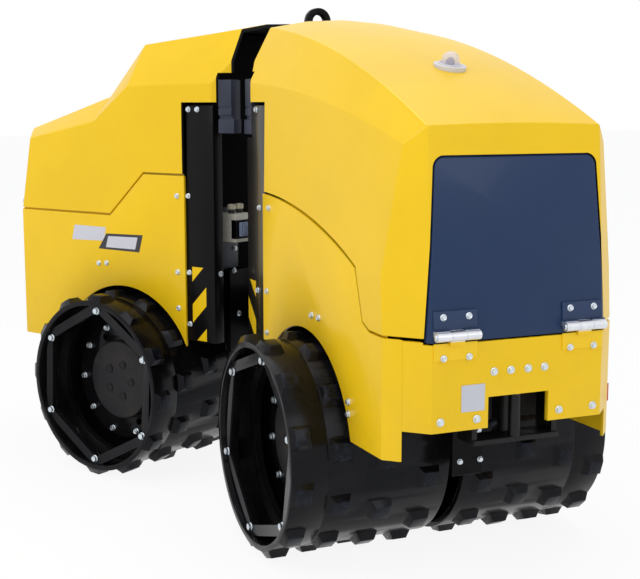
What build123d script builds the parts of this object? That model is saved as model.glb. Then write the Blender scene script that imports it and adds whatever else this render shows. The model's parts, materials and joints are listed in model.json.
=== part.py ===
from build123d import *
from collections import namedtuple
from math import atan2, cos, degrees, hypot, radians, sin
import os

# Articulated vibratory roller. Sizes in mm, angles in degrees.
# Every module is drawn with X running outward from the steering axis, then the rear one is
# mirrored in X and turned by the steering angle about the vertical axis.

# Stance
wheelbase_half = 513
steer_lock = 29.45

# Drums
drum_radius = 244
lug_height = 16
drum_width = 389
drum_gap_half = 20
drum_wall = 14
ring_width = 88
ring_gap = 0
rim_set_back = 12
rim_thickness = 10
rim_flat = 184
rim_bar = 26
rim_depth = 24
rim_bolt_radius = 216
rim_pad = 17
seat_radius = 200
drum_web_offset = 215
drum_web_thickness = 12
hub_radius = 85
hub_start = 195
hub_flange_radius = 172
hub_flange_offset = 262
hub_flange_thickness = 14
jacking_holes = 2
jacking_hole_radius = 10
jacking_hole_place = 134
hub_cover_radius = 115
hub_cover_thickness = 12
spindle_radius = 60
spindle_clearance = 0.05
carrier_plate = 28
lugs_round = 12
lug_base = (54, 54)
lug_taper = 26
lug_sink = 3
lug_rows = [(53, 19), (163, 2), (270, 9)]
ring_lug_turn = 18
rear_drum_turn = 15

# Scrapers
scraper_gap = 22
scraper_sheet = 12
scraper_half = 38
scraper_bottom = 222
scraper_bar = (345, 420)
scraper_tooth_gap = 5

# Body
body_half = 280
sheet = 8
deck_bottom = 540
deck_thickness = 12
arch_clearance = 12
seam_gap = 5
corner_strip = 31
plate_bottom = 389
notch_half = 73
notch_top = 454
end_plate = 12
tie_pin_radius = 13
tie_jaw = (352, 362)
bumper_gap = 76

# Joint ends
cheek_top = 1046
cheek_bottom = 400
bulkhead_at = 236
bulkhead_thickness = 10
cheek_flange = 34
cheek_return = 36
cheek_set = 20
hood_end = 120
hood_shell = 8
crown_share = 0.75
slot_gap = 8
corner_notch = 1131
corner_slope = 30
buffer_place = (95, 150)
buffer_upper_start = 104
buffer_drop = 18
buffer_length = 140
buffer_depth = 30
buffer_groove = (37, 47)
buffer_line = (65, 70)

# Steering joint
ear_thickness = 26
ear_gap = 205
joint_height = 458
ear_half_width = 66
ear_reach = 74
yoke_root = 100
pin_radius = 25
barrel_radius = 50
pin_clearance = 0.05
ear_play = 1.0
trunnion_radius = 40
housing_radius = 62
housing_start = 92
eye_thickness = 22
eye_position = -49
eye_half_width = 36
eye_top = 1311
eye_bore = 18

# Steering cylinder
cylinder_base = (205, 130)
cylinder_arm = (-110, 125)
arm_thickness = 14
arm_half_width = 24
cylinder_eye = 24
cylinder_eye_height = 30
cylinder_pin = 12
cylinder_bore_radius = 25
cylinder_length = 200
cylinder_bore_start = 30
rod_radius = 13
arm_play = 0.5

# Hinges of the hoods
hinge_pin = 5
hinge_barrel = 10
hinge_stand_off = 1
hinge_clearance = 0.05
hinge_inner = 103
hinge_outer = 203
hinge_split = 0.5
leaf_thickness = 3
leaf_height = 40

# Fittings
cover_low = (214, -14)
cover_high = (190, 944)
cover_corner = 22
cover_gap = 4
cover_flange = 5
receiver_at = 692
receiver_flange = (42, 14)
receiver_dome = 25
rod_reach = 210
valve_across = (115, 185)
valve_bottom = 672
valve_tall = 78

lug_tip = drum_radius + lug_height
axle_height = lug_tip
arch_radius = lug_tip + arch_clearance

Module = namedtuple("Module", "name end side_end end_half seam hinge_height skirt_bottom lean cheek_edge panel_start sections")
# A hood section holds: distance from the joint, half width and height of the lower crease,
# half width and height of the upper crease, rise of the crown.
Section = namedtuple("Section", "at low_half low_height top_half top_height crown")

front_hinge_height = 589
rear_hinge_height = 748
bevel_in = 75


def seam_at(height, points):
    """Seam points from their distance along X and their height over the hinge."""
    return [(x, height + rise) for x, rise in points]


front = Module(
    name="front", end=1005, side_end=930, end_half=body_half - bevel_in, hinge_height=front_hinge_height,
    skirt_bottom=324, lean=0.077, cheek_edge=122, panel_start=252,
    seam=seam_at(front_hinge_height, [(200, 240), (495, 211), (795, 117), (832, 7), (868, -9), (1100, -13)]),
    sections=[Section(60, body_half, 1105, body_half - bevel_in, 1249, 26),
              Section(560, body_half - 18, 1060, body_half - bevel_in, 1160, 15),
              Section(1020, body_half - 44, 944, body_half - bevel_in, 984, 3)])
rear = Module(
    name="rear", end=1020, side_end=948, end_half=body_half - bevel_in + 3, hinge_height=rear_hinge_height,
    skirt_bottom=349, lean=0.2, cheek_edge=168, panel_start=270,
    seam=seam_at(rear_hinge_height, [(200, 108), (425, 108), (563, -15), (1100, -15)]),
    sections=[Section(60, body_half, 1106, body_half - bevel_in, 1252, 24),
              Section(482, body_half, 1099, body_half - bevel_in, 1216, 18),
              Section(628, body_half - 4, 1000, body_half - bevel_in, 1071, 12),
              Section(1040, body_half - 16, 925, body_half - bevel_in, 958, 8)])


def put(shape, module):
    """Move a shape drawn outward from the joint to its module's place."""
    if module.name == "front":
        return shape
    return Rot(0, 0, steer_lock) * mirror(shape, about=Plane.YZ)


def block(x, y, z):
    """A box between pairs of limits."""
    size = [limits[1] - limits[0] for limits in (x, y, z)]
    return Pos(x[0], y[0], z[0]) * Box(*size, align=(Align.MIN, Align.MIN, Align.MIN))


def prism_z(outline, low, high):
    """A plan outline raised from one height to another."""
    return Pos(0, 0, low) * extrude(outline, high - low)


def prism_y(outline, half):
    """A side outline drawn in X and Z, spread to both sides of the centre plane."""
    return extrude(Plane.XZ * outline, half, both=True)


def prism_x(outline, start, end):
    """An end outline drawn in Y and Z, spread along X."""
    return Pos(start, 0, 0) * extrude(Plane.YZ * outline, end - start)


def shape_of(*points):
    """A face inside straight lines through the points."""
    return make_face(Polyline(*points, close=True))


def both_sides(shape):
    """A piece with its mirror image across the centre plane."""
    return [shape, mirror(shape, about=Plane.XZ)]


def body_plan(module, shrink=0):
    """Plan outline of the lower body with its cut corners."""
    face = shape_of((module.panel_start, body_half), (module.side_end, body_half), (module.end, module.end_half),
                    (module.end, -module.end_half), (module.side_end, -body_half),
                    (module.panel_start, -body_half))
    return offset(face, -shrink, kind=Kind.INTERSECTION) if shrink else face


def below_seam(module, lift=0):
    """Side outline of everything under the seam of the hood."""
    points = module.seam
    if module.name == "front":
        start, middle, finish = points[:3]
        top = ThreePointArc(start, middle, finish) + Polyline(*points[2:])
    else:
        top = Polyline(*points)
    rest = Polyline(points[-1], (points[-1][0], 100), (points[0][0], 100), points[0])
    face = make_face(top + rest)
    return offset(face, lift, kind=Kind.INTERSECTION) if lift else face


def side_panels(module):
    """Both lower side panels, with the drum arch and the front corner strip."""
    top = cheek_top
    ring = body_plan(module) - body_plan(module, sheet)
    walls = prism_z(ring, module.skirt_bottom, top)
    walls &= prism_y(below_seam(module), body_half + 1)
    walls -= prism_y(Pos(wheelbase_half, axle_height) * Circle(arch_radius), body_half + 1)
    strip = body_half - corner_strip
    side = walls & block((0, module.end), (strip, body_half + 1), (0, top))
    side -= block((0, module.panel_start + sheet + 1), (0, body_half - sheet), (0, top))
    return both_sides(side)


def bumper(module):
    """End plate with its swept corners, and the tie-down pin held by a jaw in its notch."""
    ring = body_plan(module) - body_plan(module, end_plate)
    strip = body_half - corner_strip
    top = module.hinge_height - hinge_barrel - 8
    wide = cover_low[0] + 5
    plate = prism_z(ring, plate_bottom, top + 5)
    plate &= block((module.side_end - 60, module.end + 1), (-strip, strip), (0, top + 5))
    plate -= block((module.side_end - 60, module.end + 1), (-wide, wide), (top, top + 6))
    notch = Pos(0, notch_top / 2) * Rectangle(2 * notch_half, notch_top)
    plate -= prism_x(notch, module.side_end, module.end + 1)
    inside = module.end - end_plate
    pin = Pos(module.end - tie_pin_radius - 2, 0, tie_jaw[0]) * Cylinder(
        tie_pin_radius, notch_top + 5 - tie_jaw[0], align=(Align.CENTER, Align.CENTER, Align.MIN))
    webs = [block((inside - 60, inside), (side, side + 12), (tie_jaw[0], notch_top + 20))
            for side in (notch_half + 18, -notch_half - 30)]
    jaw = block((inside - 50, module.end - 2), (-notch_half - 30, notch_half + 30), tie_jaw)
    stem = block((inside - bumper_gap, inside - 40), (-10, 10), (tie_jaw[0], deck_bottom - 10))
    return plate + pin + webs + jaw + stem


def chassis(module):
    """Deck over the drums, bulkhead at the joint end, and the stiffeners between them."""
    inner = body_half - sheet
    narrow = inner - cheek_set
    flange_end = module.panel_start + cheek_flange + 2
    front_edge = module.end - end_plate - bumper_gap
    deck = block((flange_end, front_edge), (-inner, inner), (deck_bottom, deck_bottom + deck_thickness))
    deck += block((bulkhead_at, flange_end), (-narrow, narrow), (deck_bottom, deck_bottom + deck_thickness))
    wall = block((bulkhead_at, bulkhead_at + bulkhead_thickness), (-narrow, narrow),
                 (cheek_bottom, cheek_top - 6))
    head = hood_body(module, 2 * hood_shell) & block(
        (bulkhead_at, bulkhead_at + bulkhead_thickness), (-body_half, body_half), (cheek_top - 10, eye_top))
    beams = block((front_edge - 74, front_edge), (-inner, inner), (deck_bottom - 90, deck_bottom))
    ties = [block((front_edge, front_edge + bumper_gap), (y, y + 14),
                  (deck_bottom - 90, deck_bottom + deck_thickness)) for y in (-187, 173)]
    return deck + wall + head + beams + ties


def cheeks(module):
    """Black plates that close the module's sides beside the joint, flanged behind the panels."""
    out = body_half - sheet
    end = module.panel_start + cheek_flange
    edge = module.cheek_edge
    plate = block((edge, end), (out - sheet, out), (cheek_bottom, module.seam[0][1] - 6))
    plate += block((edge, module.panel_start - 4), (out - sheet, out), (cheek_bottom, cheek_top))
    plate += block((edge, edge + sheet), (out - cheek_return, out), (cheek_bottom, cheek_top))
    plate -= block((0, buffer_place[1] + slot_gap), (0, body_half), (buffer_low() - slot_gap, cheek_top + 1))
    plate -= prism_y(Pos(wheelbase_half, axle_height) * Circle(arch_radius), body_half + 1)
    return both_sides(plate)


def hood_body(module, inset):
    """Solid inside the hood's outer faces, or that far inside them."""
    faces = []
    for section in module.sections:
        low = (section.low_half - inset, section.low_height - inset)
        top = (section.top_half - inset * 0.7, section.top_height - inset)
        mid = (section.top_half / 2, section.top_height + section.crown * crown_share - inset)
        peak = (0, section.top_height + section.crown - inset)
        half = [(body_half - inset, 500), (body_half - inset, 700), low, top, mid, peak]
        other = [(-y, z) for y, z in reversed(half[:-1])]
        face = shape_of(*half, *other)
        faces.append(Pos(section.at, 0, 0) * (Plane.YZ * face))
    body = loft(faces, ruled=module.name == "rear")
    tops = []
    for height in (500, 1300):
        back = module.lean * (height - module.seam[-1][1])
        end = module.end - back - inset
        strip = module.side_end - back - inset
        start = hood_end + inset
        side = body_half + 5 - inset
        half = [(start, body_half - corner_slope - inset), (start + 55, side), (strip - 5, side),
                (end, module.end_half - inset * 0.4)]
        outline = shape_of(*half, *[(x, -y) for x, y in reversed(half)])
        tops.append(Pos(0, 0, height) * outline)
    return body & loft(tops, ruled=True)


def hood(module):
    """Hollow hood, open at the joint end."""
    wide = body_half + 20
    shell = hood_body(module, 0) - hood_body(module, hood_shell)
    mouth = body_half - corner_slope - hood_shell - 2
    mouth = hood_body(module, hood_shell) & block((hood_end, hood_end + 40), (-mouth, mouth), (0, eye_top))
    shell -= Pos(-hood_shell - 5, 0, 0) * mouth
    shell -= prism_y(below_seam(module, seam_gap), wide)
    if module.name == "front":
        shell -= prism_x(cover_outline(cover_gap), module.end - 120, module.end + 40)
    shell -= block((0, module.panel_start + 5), (-wide, wide), (0, cheek_top + slot_gap))
    inner = body_half - corner_slope - 60
    for side in both_sides(block((0, buffer_place[1] + seam_gap), (inner, wide), (0, corner_notch))):
        shell -= side
    return shell


def drum_piece():
    """Main drum along Z: wall, web, hub and flanges, with its lugs. Its outer end is up."""
    inner = drum_radius - drum_wall
    length = drum_width - ring_width - ring_gap
    wall = disc(0, length, drum_radius) - disc(0, length, inner)
    web = disc(drum_web_offset, drum_web_thickness, inner)
    hub = disc(hub_start, hub_flange_offset - hub_start, hub_radius)
    plate = disc(hub_flange_offset, hub_flange_thickness, hub_flange_radius)
    for step in range(jacking_holes):
        turn = Rot(0, 0, ring_lug_turn + 28 + step * 360 / jacking_holes)
        plate -= turn * Pos(jacking_hole_place, 0, 0) * disc(
            hub_flange_offset, hub_flange_thickness, jacking_hole_radius)
    flange = disc(length - rim_thickness, rim_thickness, inner) - disc(0, length, seat_radius)
    body = wall + web + hub + plate + flange
    body -= Cylinder(spindle_radius + spindle_clearance, 1000)
    return body + lugs(lug_rows)


def disc(low, height, radius):
    """A disc about Z that starts at a height."""
    return Pos(0, 0, low) * Cylinder(radius, height, align=(Align.CENTER, Align.CENTER, Align.MIN))


def lugs(rows):
    """Tapered pads in rows: (place along the axis, turn of the row)."""
    pad = extrude(Rectangle(*lug_base), lug_height + lug_sink, taper=lug_taper)
    seat = Rot(0, 90, 0) * pad
    pads = []
    for along, turn in rows:
        for step in range(lugs_round):
            angle = step * 360 / lugs_round + turn
            pads.append(Pos(0, 0, along) * Rot(0, 0, angle) * Pos(drum_radius - lug_sink, 0, 0) * seat)
    return pads


def ring_piece():
    """Extension ring on the drum's outer end: six bars between bolt pads inside its wall."""
    inner = drum_radius - drum_wall
    ring = disc(0, ring_width, drum_radius) - disc(0, ring_width, inner)
    low = ring_width - rim_set_back - rim_depth
    frame = RegularPolygon(rim_flat + rim_bar, 6, major_radius=False)
    for step in range(6):
        frame += Rot(0, 0, 60 * step) * Pos(rim_bolt_radius, 0) * Circle(rim_pad)
    frame = (frame & Circle(inner)) - RegularPolygon(rim_flat, 6, major_radius=False)
    bars = Pos(0, 0, low) * extrude(Rot(0, 0, ring_lug_turn) * frame, rim_depth)
    seat = disc(-ring_gap, ring_gap + rim_thickness, inner) - disc(-ring_gap, 4 * rim_thickness, seat_radius)
    pads = lugs([(ring_width - lug_base[0] / 2, ring_lug_turn)])
    return Pos(0, 0, drum_width - ring_width) * (ring + bars + seat + pads)


def hub_cover_piece():
    """Cover over the end of the hub."""
    cover = disc(hub_flange_offset + hub_flange_thickness, hub_cover_thickness, hub_cover_radius)
    return chamfer(cover.edges().group_by(Axis.Z)[-1], 4)


def on_axle(shape, side, turn):
    """Carry a piece drawn along Z to its drum: side is +1 on the left and -1 on the right."""
    placed = Pos(0, drum_gap_half, 0) * Rot(-90, 0, 0) * Rot(0, 0, turn) * shape
    half_turn = 0 if side > 0 else 180
    return Pos(wheelbase_half, 0, axle_height) * Rot(0, 0, half_turn) * placed


def drum_carrier():
    """Web between the two drums of a module, with the spindle that they turn on."""
    reach = drum_gap_half + hub_flange_offset + hub_flange_thickness - 6
    spindle = Pos(wheelbase_half, 0, axle_height) * Rot(90, 0, 0) * Cylinder(spindle_radius, 2 * reach)
    foot = Pos(wheelbase_half, axle_height) * Circle(95)
    head = shape_of((wheelbase_half - 95, axle_height), (wheelbase_half + 95, axle_height),
                    (wheelbase_half + 150, deck_bottom), (wheelbase_half - 150, deck_bottom))
    return spindle + prism_y(foot + head, carrier_plate / 2)


def scrapers(module):
    """Comb that keeps soil off the drums: a bar with teeth between the rows of lugs."""
    edge = wheelbase_half + lug_tip + scraper_gap - 5
    low, high = scraper_bar
    reach = body_half - sheet - 10
    comb = block((edge, edge + scraper_sheet), (-reach, reach), scraper_bar)
    comb += block((edge, edge + scraper_sheet), (-scraper_half, scraper_half), (scraper_bottom, deck_bottom))
    near = drum_radius + scraper_tooth_gap + 4
    tips = [(wheelbase_half + near * cos(radians(angle)), axle_height + near * sin(radians(angle)))
            for angle in (24, 31)]
    tooth = shape_of((edge, low + 8), (edge, high - 8), tips[1], tips[0])
    half_lug = lug_base[0] / 2 + scraper_tooth_gap
    for first, second in zip(lug_rows[:-1], lug_rows[1:]):
        start = drum_gap_half + first[0] + half_lug
        end = drum_gap_half + second[0] - half_lug
        for piece in both_sides(Pos(0, (start + end) / 2, 0) * prism_y(tooth, (end - start) / 2)):
            comb += piece
    for piece in both_sides(block((edge, edge + scraper_sheet), (reach - 50, reach - 10), (high - 10, deck_bottom))):
        comb += piece
    return comb


def yoke():
    """Ears of the steering joint on the front bulkhead."""
    ears = []
    for low in (joint_height - ear_gap / 2 - ear_thickness, joint_height + ear_gap / 2):
        outline = shape_of((bulkhead_at, yoke_root), (bulkhead_at, -yoke_root), (60, -ear_half_width),
                           (-ear_reach, -ear_half_width), (-ear_reach, ear_half_width), (60, ear_half_width))
        outline = fillet(outline.vertices().group_by(Axis.X)[0], 24)
        ear = prism_z(outline, low, low + ear_thickness)
        ear -= Pos(0, 0, low) * Cylinder(pin_radius + pin_clearance, 4 * ear_thickness)
        ears.append(ear)
    low = joint_height - ear_gap / 2 - ear_thickness
    back = block((bulkhead_at - 16, bulkhead_at), (-yoke_root, yoke_root), (low, joint_height + ear_gap / 2 + ear_thickness))
    return ears[0] + ears[1] + back


def lifting_eye():
    """Post with the lifting eye, standing on the yoke's upper ear."""
    foot = joint_height + ear_gap / 2 + ear_thickness
    outline = shape_of((-ear_half_width + 8, foot), (ear_half_width - 8, foot), (ear_half_width - 8, foot + 60),
                       (eye_half_width, foot + 220), (eye_half_width, eye_top - eye_half_width),
                       (-eye_half_width, eye_top - eye_half_width), (-eye_half_width, foot + 220),
                       (-ear_half_width + 8, foot + 60))
    outline += Pos(0, eye_top - eye_half_width) * Circle(eye_half_width)
    outline -= Pos(0, eye_top - eye_half_width) * Circle(eye_bore)
    return prism_x(outline, eye_position - eye_thickness / 2, eye_position + eye_thickness / 2)


def knuckle():
    """Centre piece: steering pin, trunnion toward the rear module and steering arm."""
    tall = ear_gap - 2 * ear_play
    barrel = Pos(0, 0, joint_height) * Cylinder(barrel_radius, tall)
    pin = Pos(0, 0, joint_height) * Cylinder(pin_radius, ear_gap + 2 * ear_thickness + 10)
    trunnion = Pos(0, 0, joint_height) * Rot(0, 90, 0) * Cylinder(
        trunnion_radius, bulkhead_at - 24, align=(Align.CENTER, Align.CENTER, Align.MIN))
    top = joint_height - cylinder_eye_height / 2 - arm_play
    x, y = -cylinder_arm[0], cylinder_arm[1]
    plan = make_hull(Circle(arm_half_width + 8).edges() + (Pos(x, y) * Circle(arm_half_width)).edges())
    arm = prism_z(plan, top - arm_thickness, top)
    return barrel + pin + trunnion + arm


def trunnion_housing():
    """Bearing housing of the trunnion on the rear bulkhead, with its gussets."""
    align = (Align.CENTER, Align.CENTER, Align.MIN)
    tube = Pos(housing_start, 0, joint_height) * Rot(0, 90, 0) * Cylinder(
        housing_radius, bulkhead_at - housing_start, align=align)
    plate = block((bulkhead_at - 16, bulkhead_at), (-150, 150), (joint_height - 128, joint_height + 128))
    ribs = [block((bulkhead_at - 70, bulkhead_at), (-10, 10), limits) for limits in
            ((joint_height + 60, joint_height + 120), (joint_height - 120, joint_height - 60))]
    bore = Pos(housing_start, 0, joint_height) * Rot(0, 90, 0) * Cylinder(
        trunnion_radius + pin_clearance, 2 * bulkhead_at)
    return (tube + plate + ribs) - bore


def buffer_low():
    """Height of the buffers' lower end, under the notch of the hood."""
    return corner_notch - buffer_drop - buffer_length


def latch_posts():
    """Grooved corner buffers that the modules meet on at full steer, each on an arm from the bulkhead."""
    side = body_half - 10
    first, last = buffer_place
    low = buffer_low()
    high = low + buffer_length
    groove_low, groove_high = [low + rise for rise in buffer_groove]
    line = [low + rise for rise in buffer_line]
    post = block((first, last), (side - buffer_depth, side), (low, groove_low))
    post += block((buffer_upper_start, last), (side - buffer_depth, side), (groove_high, high))
    post += block((buffer_upper_start, last), (side - buffer_depth, side - 5), (groove_low, groove_high))
    post -= block((0, last), (side - 2, side), line)
    post += block((last - 22, last), (side - 65, side - buffer_depth), (low, high))
    arm = block((last - 22, bulkhead_at), (side - 65, side - 42), (groove_low, groove_low + 26))
    return both_sides(post + arm)


def engine(module):
    """Heavy block inside the hood."""
    return block((320, 820), (-190, 190), (deck_bottom + deck_thickness, 900))


def hinge_axis(module):
    """Place of a hood's hinge axis along X."""
    return module.end + hinge_barrel + hinge_stand_off


def hinge_mounts(module):
    """Fixed halves of the hood's hinges: leaf, middle knuckle and pin."""
    at = hinge_axis(module)
    middle = (hinge_inner + hinge_outer) / 2
    half = (hinge_outer - hinge_inner) / 6
    low = module.hinge_height - hinge_barrel - leaf_height
    pin = Pos(at, middle, module.hinge_height) * Rot(90, 0, 0) * Cylinder(hinge_pin, hinge_outer - hinge_inner)
    barrel = Pos(at, middle, module.hinge_height) * Rot(90, 0, 0) * Cylinder(hinge_barrel, 2 * half)
    leaf = block((module.end, module.end + leaf_thickness), (hinge_inner, hinge_outer),
                 (low, module.hinge_height - hinge_barrel - seam_gap))
    neck = block((module.end + hinge_stand_off, at), (middle - half, middle + half),
                 (module.hinge_height - hinge_barrel - seam_gap - 4, module.hinge_height))
    return both_sides(pin + barrel + leaf + neck)


def face_skin(module, outline, thickness, depth=0):
    """Plate of an end outline that follows the hood's end face."""
    slab = prism_x(outline, module.end - 120, module.end + 40)
    return slab & (hood_body(module, depth - thickness) - hood_body(module, depth))


def hinge_leaves(module):
    """Moving halves of the hood's hinges."""
    at = hinge_axis(module)
    middle = (hinge_inner + hinge_outer) / 2
    half = (hinge_outer - hinge_inner) / 6 + hinge_split
    length = (hinge_outer - hinge_inner) / 2 - half
    height = module.hinge_height
    barrels = []
    for y in (hinge_inner + length / 2, hinge_outer - length / 2):
        barrels.append(Pos(at, y, height) * Rot(90, 0, 0) * Cylinder(hinge_barrel, length))
        neck = block((module.end - hinge_barrel, at), (y - length / 2, y + length / 2),
                     (height, height + hinge_barrel + 3))
        barrels.append(neck - hood_body(module, 0))
    leaf = face_skin(module, Pos(middle, height + hinge_barrel + leaf_height / 2)
                     * Rectangle(hinge_outer - hinge_inner, leaf_height), leaf_thickness)
    bore = Pos(at, middle, height) * Rot(90, 0, 0) * Cylinder(hinge_pin + hinge_clearance, 400)
    moving = (leaf + barrels) - bore
    return both_sides(moving)


def cover_outline(margin=0):
    """Outline of the black end cover in Y and Z, grown by a margin."""
    low_half, low_height = cover_low[0], front.hinge_height + cover_low[1]
    high_half, high_height = cover_high
    outline = shape_of((-low_half, low_height), (low_half, low_height), (high_half, high_height),
                       (-high_half, high_height))
    outline = fillet(outline.vertices().group_by(Axis.Y)[-1], cover_corner)
    return offset(outline, margin) if margin else outline


def cover_plate():
    """Black cover in the end opening of the front hood, flush with it, on a flange behind."""
    plug = face_skin(front, cover_outline(), hood_shell, hood_shell)
    flange = face_skin(front, cover_outline(cover_gap + 12), cover_flange, hood_shell + cover_flange)
    return plug + (flange & block((0, 1100), (-300, 300), (front.hinge_height, 1000)))


def along_cylinder(shape, steer):
    """Turn a shape drawn along X from the cylinder's base to point at the steering arm."""
    arm_x = cylinder_arm[0] * cos(radians(steer)) - cylinder_arm[1] * sin(radians(steer))
    arm_y = cylinder_arm[0] * sin(radians(steer)) + cylinder_arm[1] * cos(radians(steer))
    dx, dy = arm_x - cylinder_base[0], arm_y - cylinder_base[1]
    turn = degrees(atan2(dy, dx))
    return Pos(*cylinder_base, joint_height) * Rot(0, 0, turn) * shape, hypot(dx, dy)


def receiver():
    """Dome of the remote control's receiver on the front hood."""
    column = hood_body(front, 0) & block((receiver_at - 1, receiver_at + 1), (-1, 1), (0, eye_top))
    top = column.bounding_box().max.Z
    radius, height = receiver_flange
    flange = disc(-height / 2, 1.5 * height, radius)
    dome = Pos(0, 0, height) * Sphere(receiver_dome)
    seat = Pos(receiver_at, 0, top - 3) * Rot(0, 15, 0) * (flange + dome)
    return seat - hood_body(front, 0)


def cylinder_barrel(steer):
    """Barrel of the steering cylinder with its eye at the base."""
    eye = Cylinder(cylinder_eye, cylinder_eye_height)
    align = (Align.CENTER, Align.CENTER, Align.MIN)
    start = cylinder_eye - 8
    tube = Pos(start, 0, 0) * Rot(0, 90, 0) * Cylinder(cylinder_bore_radius, cylinder_length - start, align=align)
    bore = Pos(cylinder_bore_start, 0, 0) * Rot(0, 90, 0) * Cylinder(
        rod_radius + pin_clearance, cylinder_length, align=align)
    hole = Cylinder(cylinder_pin + pin_clearance, 100)
    return along_cylinder(eye + tube - bore - hole, steer)[0]


def cylinder_rod(steer):
    """Rod of the steering cylinder with its eye over the steering arm."""
    length = along_cylinder(Sphere(1), steer)[1]
    eye = Pos(length, 0, 0) * Cylinder(cylinder_eye, cylinder_eye_height)
    rod = Pos(length - rod_reach, 0, 0) * Rot(0, 90, 0) * Cylinder(
        rod_radius, rod_reach, align=(Align.CENTER, Align.CENTER, Align.MIN))
    head = Pos(length, 0, cylinder_eye_height / 2) * Cylinder(cylinder_pin + 4, 6)
    return along_cylinder(rod + eye + head, steer)[0]


def cylinder_clevis():
    """Ears and pin that hold the cylinder's base on the front bulkhead."""
    x, y = cylinder_base
    half = max(cylinder_eye_height / 2, cylinder_bore_radius) + 2
    ears = []
    for low in (joint_height - half - 10, joint_height + half):
        ears.append(block((x, bulkhead_at), (y - cylinder_eye, y + cylinder_eye), (low, low + 10)))
        ears.append(Pos(x, y, low + 5) * Cylinder(cylinder_eye, 10))
    return Pos(x, y, joint_height) * Cylinder(cylinder_pin, 2 * half + 20) + ears


def valve_block():
    """Hydraulic valve block on its plate in the joint gap, with two knobs."""
    low, high = valve_bottom, valve_bottom + valve_tall
    start, end = valve_across
    body = block((bulkhead_at - 70, bulkhead_at), valve_across, (low, high))
    plate = block((bulkhead_at - 8, bulkhead_at), (start - 10, end + 10), (low - 80, high + 15))
    knobs = [Pos(bulkhead_at - 38, (start + end) / 2 + y, 0) * disc(high, 24, 9) for y in (-16, 16)]
    return mirror(body + plate + knobs, about=Plane.XZ)


os.makedirs("parts", exist_ok=True)
nodes = {}
for module in (front, rear):
    name = module.name
    pieces = {"chassis": chassis(module), "side_panels": side_panels(module), "bumper": bumper(module),
              "joint_cheeks": cheeks(module), "latch_posts": latch_posts(), "drum_carrier": drum_carrier(),
              "scrapers": scrapers(module), "hinge_mounts": hinge_mounts(module), "hood": hood(module),
              "hood_leaves": hinge_leaves(module)}
    pieces["engine" if name == "front" else "hydraulic_tank"] = engine(module)
    for piece, shape in pieces.items():
        shape = Compound(children=shape) if isinstance(shape, list) else shape
        nodes[f"{name}_{piece}"] = put(shape, module)
    drum_parts = {"drum": drum_piece(), "drum_ring": ring_piece(), "hub_cover": hub_cover_piece()}
    for side, side_name in ((1, "left"), (-1, "right")):
        for piece, shape in drum_parts.items():
            turn = rear_drum_turn if name == "rear" else 0
            nodes[f"{name}_{side_name}_{piece}"] = put(on_axle(shape, side, turn), module)
nodes["front_yoke"] = yoke()
nodes["lifting_eye"] = lifting_eye()
nodes["front_cylinder_clevis"] = cylinder_clevis()
nodes["front_hood_cover"] = cover_plate()
nodes["receiver_dome"] = receiver()
nodes["knuckle"] = put(knuckle(), rear)
nodes["rear_trunnion_housing"] = put(trunnion_housing(), rear)
nodes["valve_block"] = put(valve_block(), rear)
nodes["steering_barrel"] = cylinder_barrel(steer_lock)
nodes["steering_rod"] = cylinder_rod(steer_lock)

box = Compound(children=[solid for shape in nodes.values() for solid in shape.solids()]).bounding_box()
middle = box.center()
shift = Pos(-middle.X, -middle.Y, -box.min.Z)
print("origin shift", tuple(round(v, 4) for v in shift.position))
for node, shape in nodes.items():
    solids = [solid.moved(shift) for solid in shape.solids()]
    export_step(solids[0] if len(solids) == 1 else Compound(children=solids), f"parts/{node}.step")
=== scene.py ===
"""An articulated trench roller with padded drums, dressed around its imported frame.

Places are read from the frame. A module is described with its own X running outward from the
steering axis, so one description serves both modules: the rear one is turned half round.
Sizes are in millimetres unless a name says otherwise.
"""

import json
import logging
import math
from collections.abc import Callable, Iterable
from dataclasses import dataclass
from enum import Enum

import bmesh
import bpy
from mathutils import Matrix, Vector
from mathutils.bvhtree import BVHTree

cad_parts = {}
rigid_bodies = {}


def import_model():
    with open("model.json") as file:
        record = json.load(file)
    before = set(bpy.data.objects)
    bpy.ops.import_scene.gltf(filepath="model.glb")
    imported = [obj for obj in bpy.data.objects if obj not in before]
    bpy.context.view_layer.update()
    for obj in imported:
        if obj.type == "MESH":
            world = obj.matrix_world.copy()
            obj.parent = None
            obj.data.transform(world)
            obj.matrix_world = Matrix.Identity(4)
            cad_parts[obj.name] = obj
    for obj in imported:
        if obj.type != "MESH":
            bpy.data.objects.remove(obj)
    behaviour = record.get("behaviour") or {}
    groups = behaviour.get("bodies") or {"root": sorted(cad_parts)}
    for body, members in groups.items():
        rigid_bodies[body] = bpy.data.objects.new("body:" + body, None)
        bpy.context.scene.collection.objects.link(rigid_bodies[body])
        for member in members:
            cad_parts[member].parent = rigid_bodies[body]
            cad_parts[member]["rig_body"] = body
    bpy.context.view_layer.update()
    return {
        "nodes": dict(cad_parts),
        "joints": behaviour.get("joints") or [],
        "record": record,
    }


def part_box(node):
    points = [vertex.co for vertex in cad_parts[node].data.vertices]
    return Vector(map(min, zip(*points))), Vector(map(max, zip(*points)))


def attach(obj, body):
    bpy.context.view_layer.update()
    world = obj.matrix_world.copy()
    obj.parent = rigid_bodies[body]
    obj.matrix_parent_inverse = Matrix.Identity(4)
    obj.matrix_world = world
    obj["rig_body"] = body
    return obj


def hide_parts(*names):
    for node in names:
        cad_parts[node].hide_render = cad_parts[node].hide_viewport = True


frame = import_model()
LOG = logging.getLogger("roller")
MM = 0.001
# In metres: corners nearer than this are one corner, and faces this near the top are the top.
WELD = 0.00003
LEVEL = 0.00002
# In degrees: faces that differ by less are one face, and edges under the second are shaded smooth.
FLAT = 0.5
SMOOTH = 38.0
# Where the drums turn in either module: distance outward and height.
AXLE = (513.0, 260.0)


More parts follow.
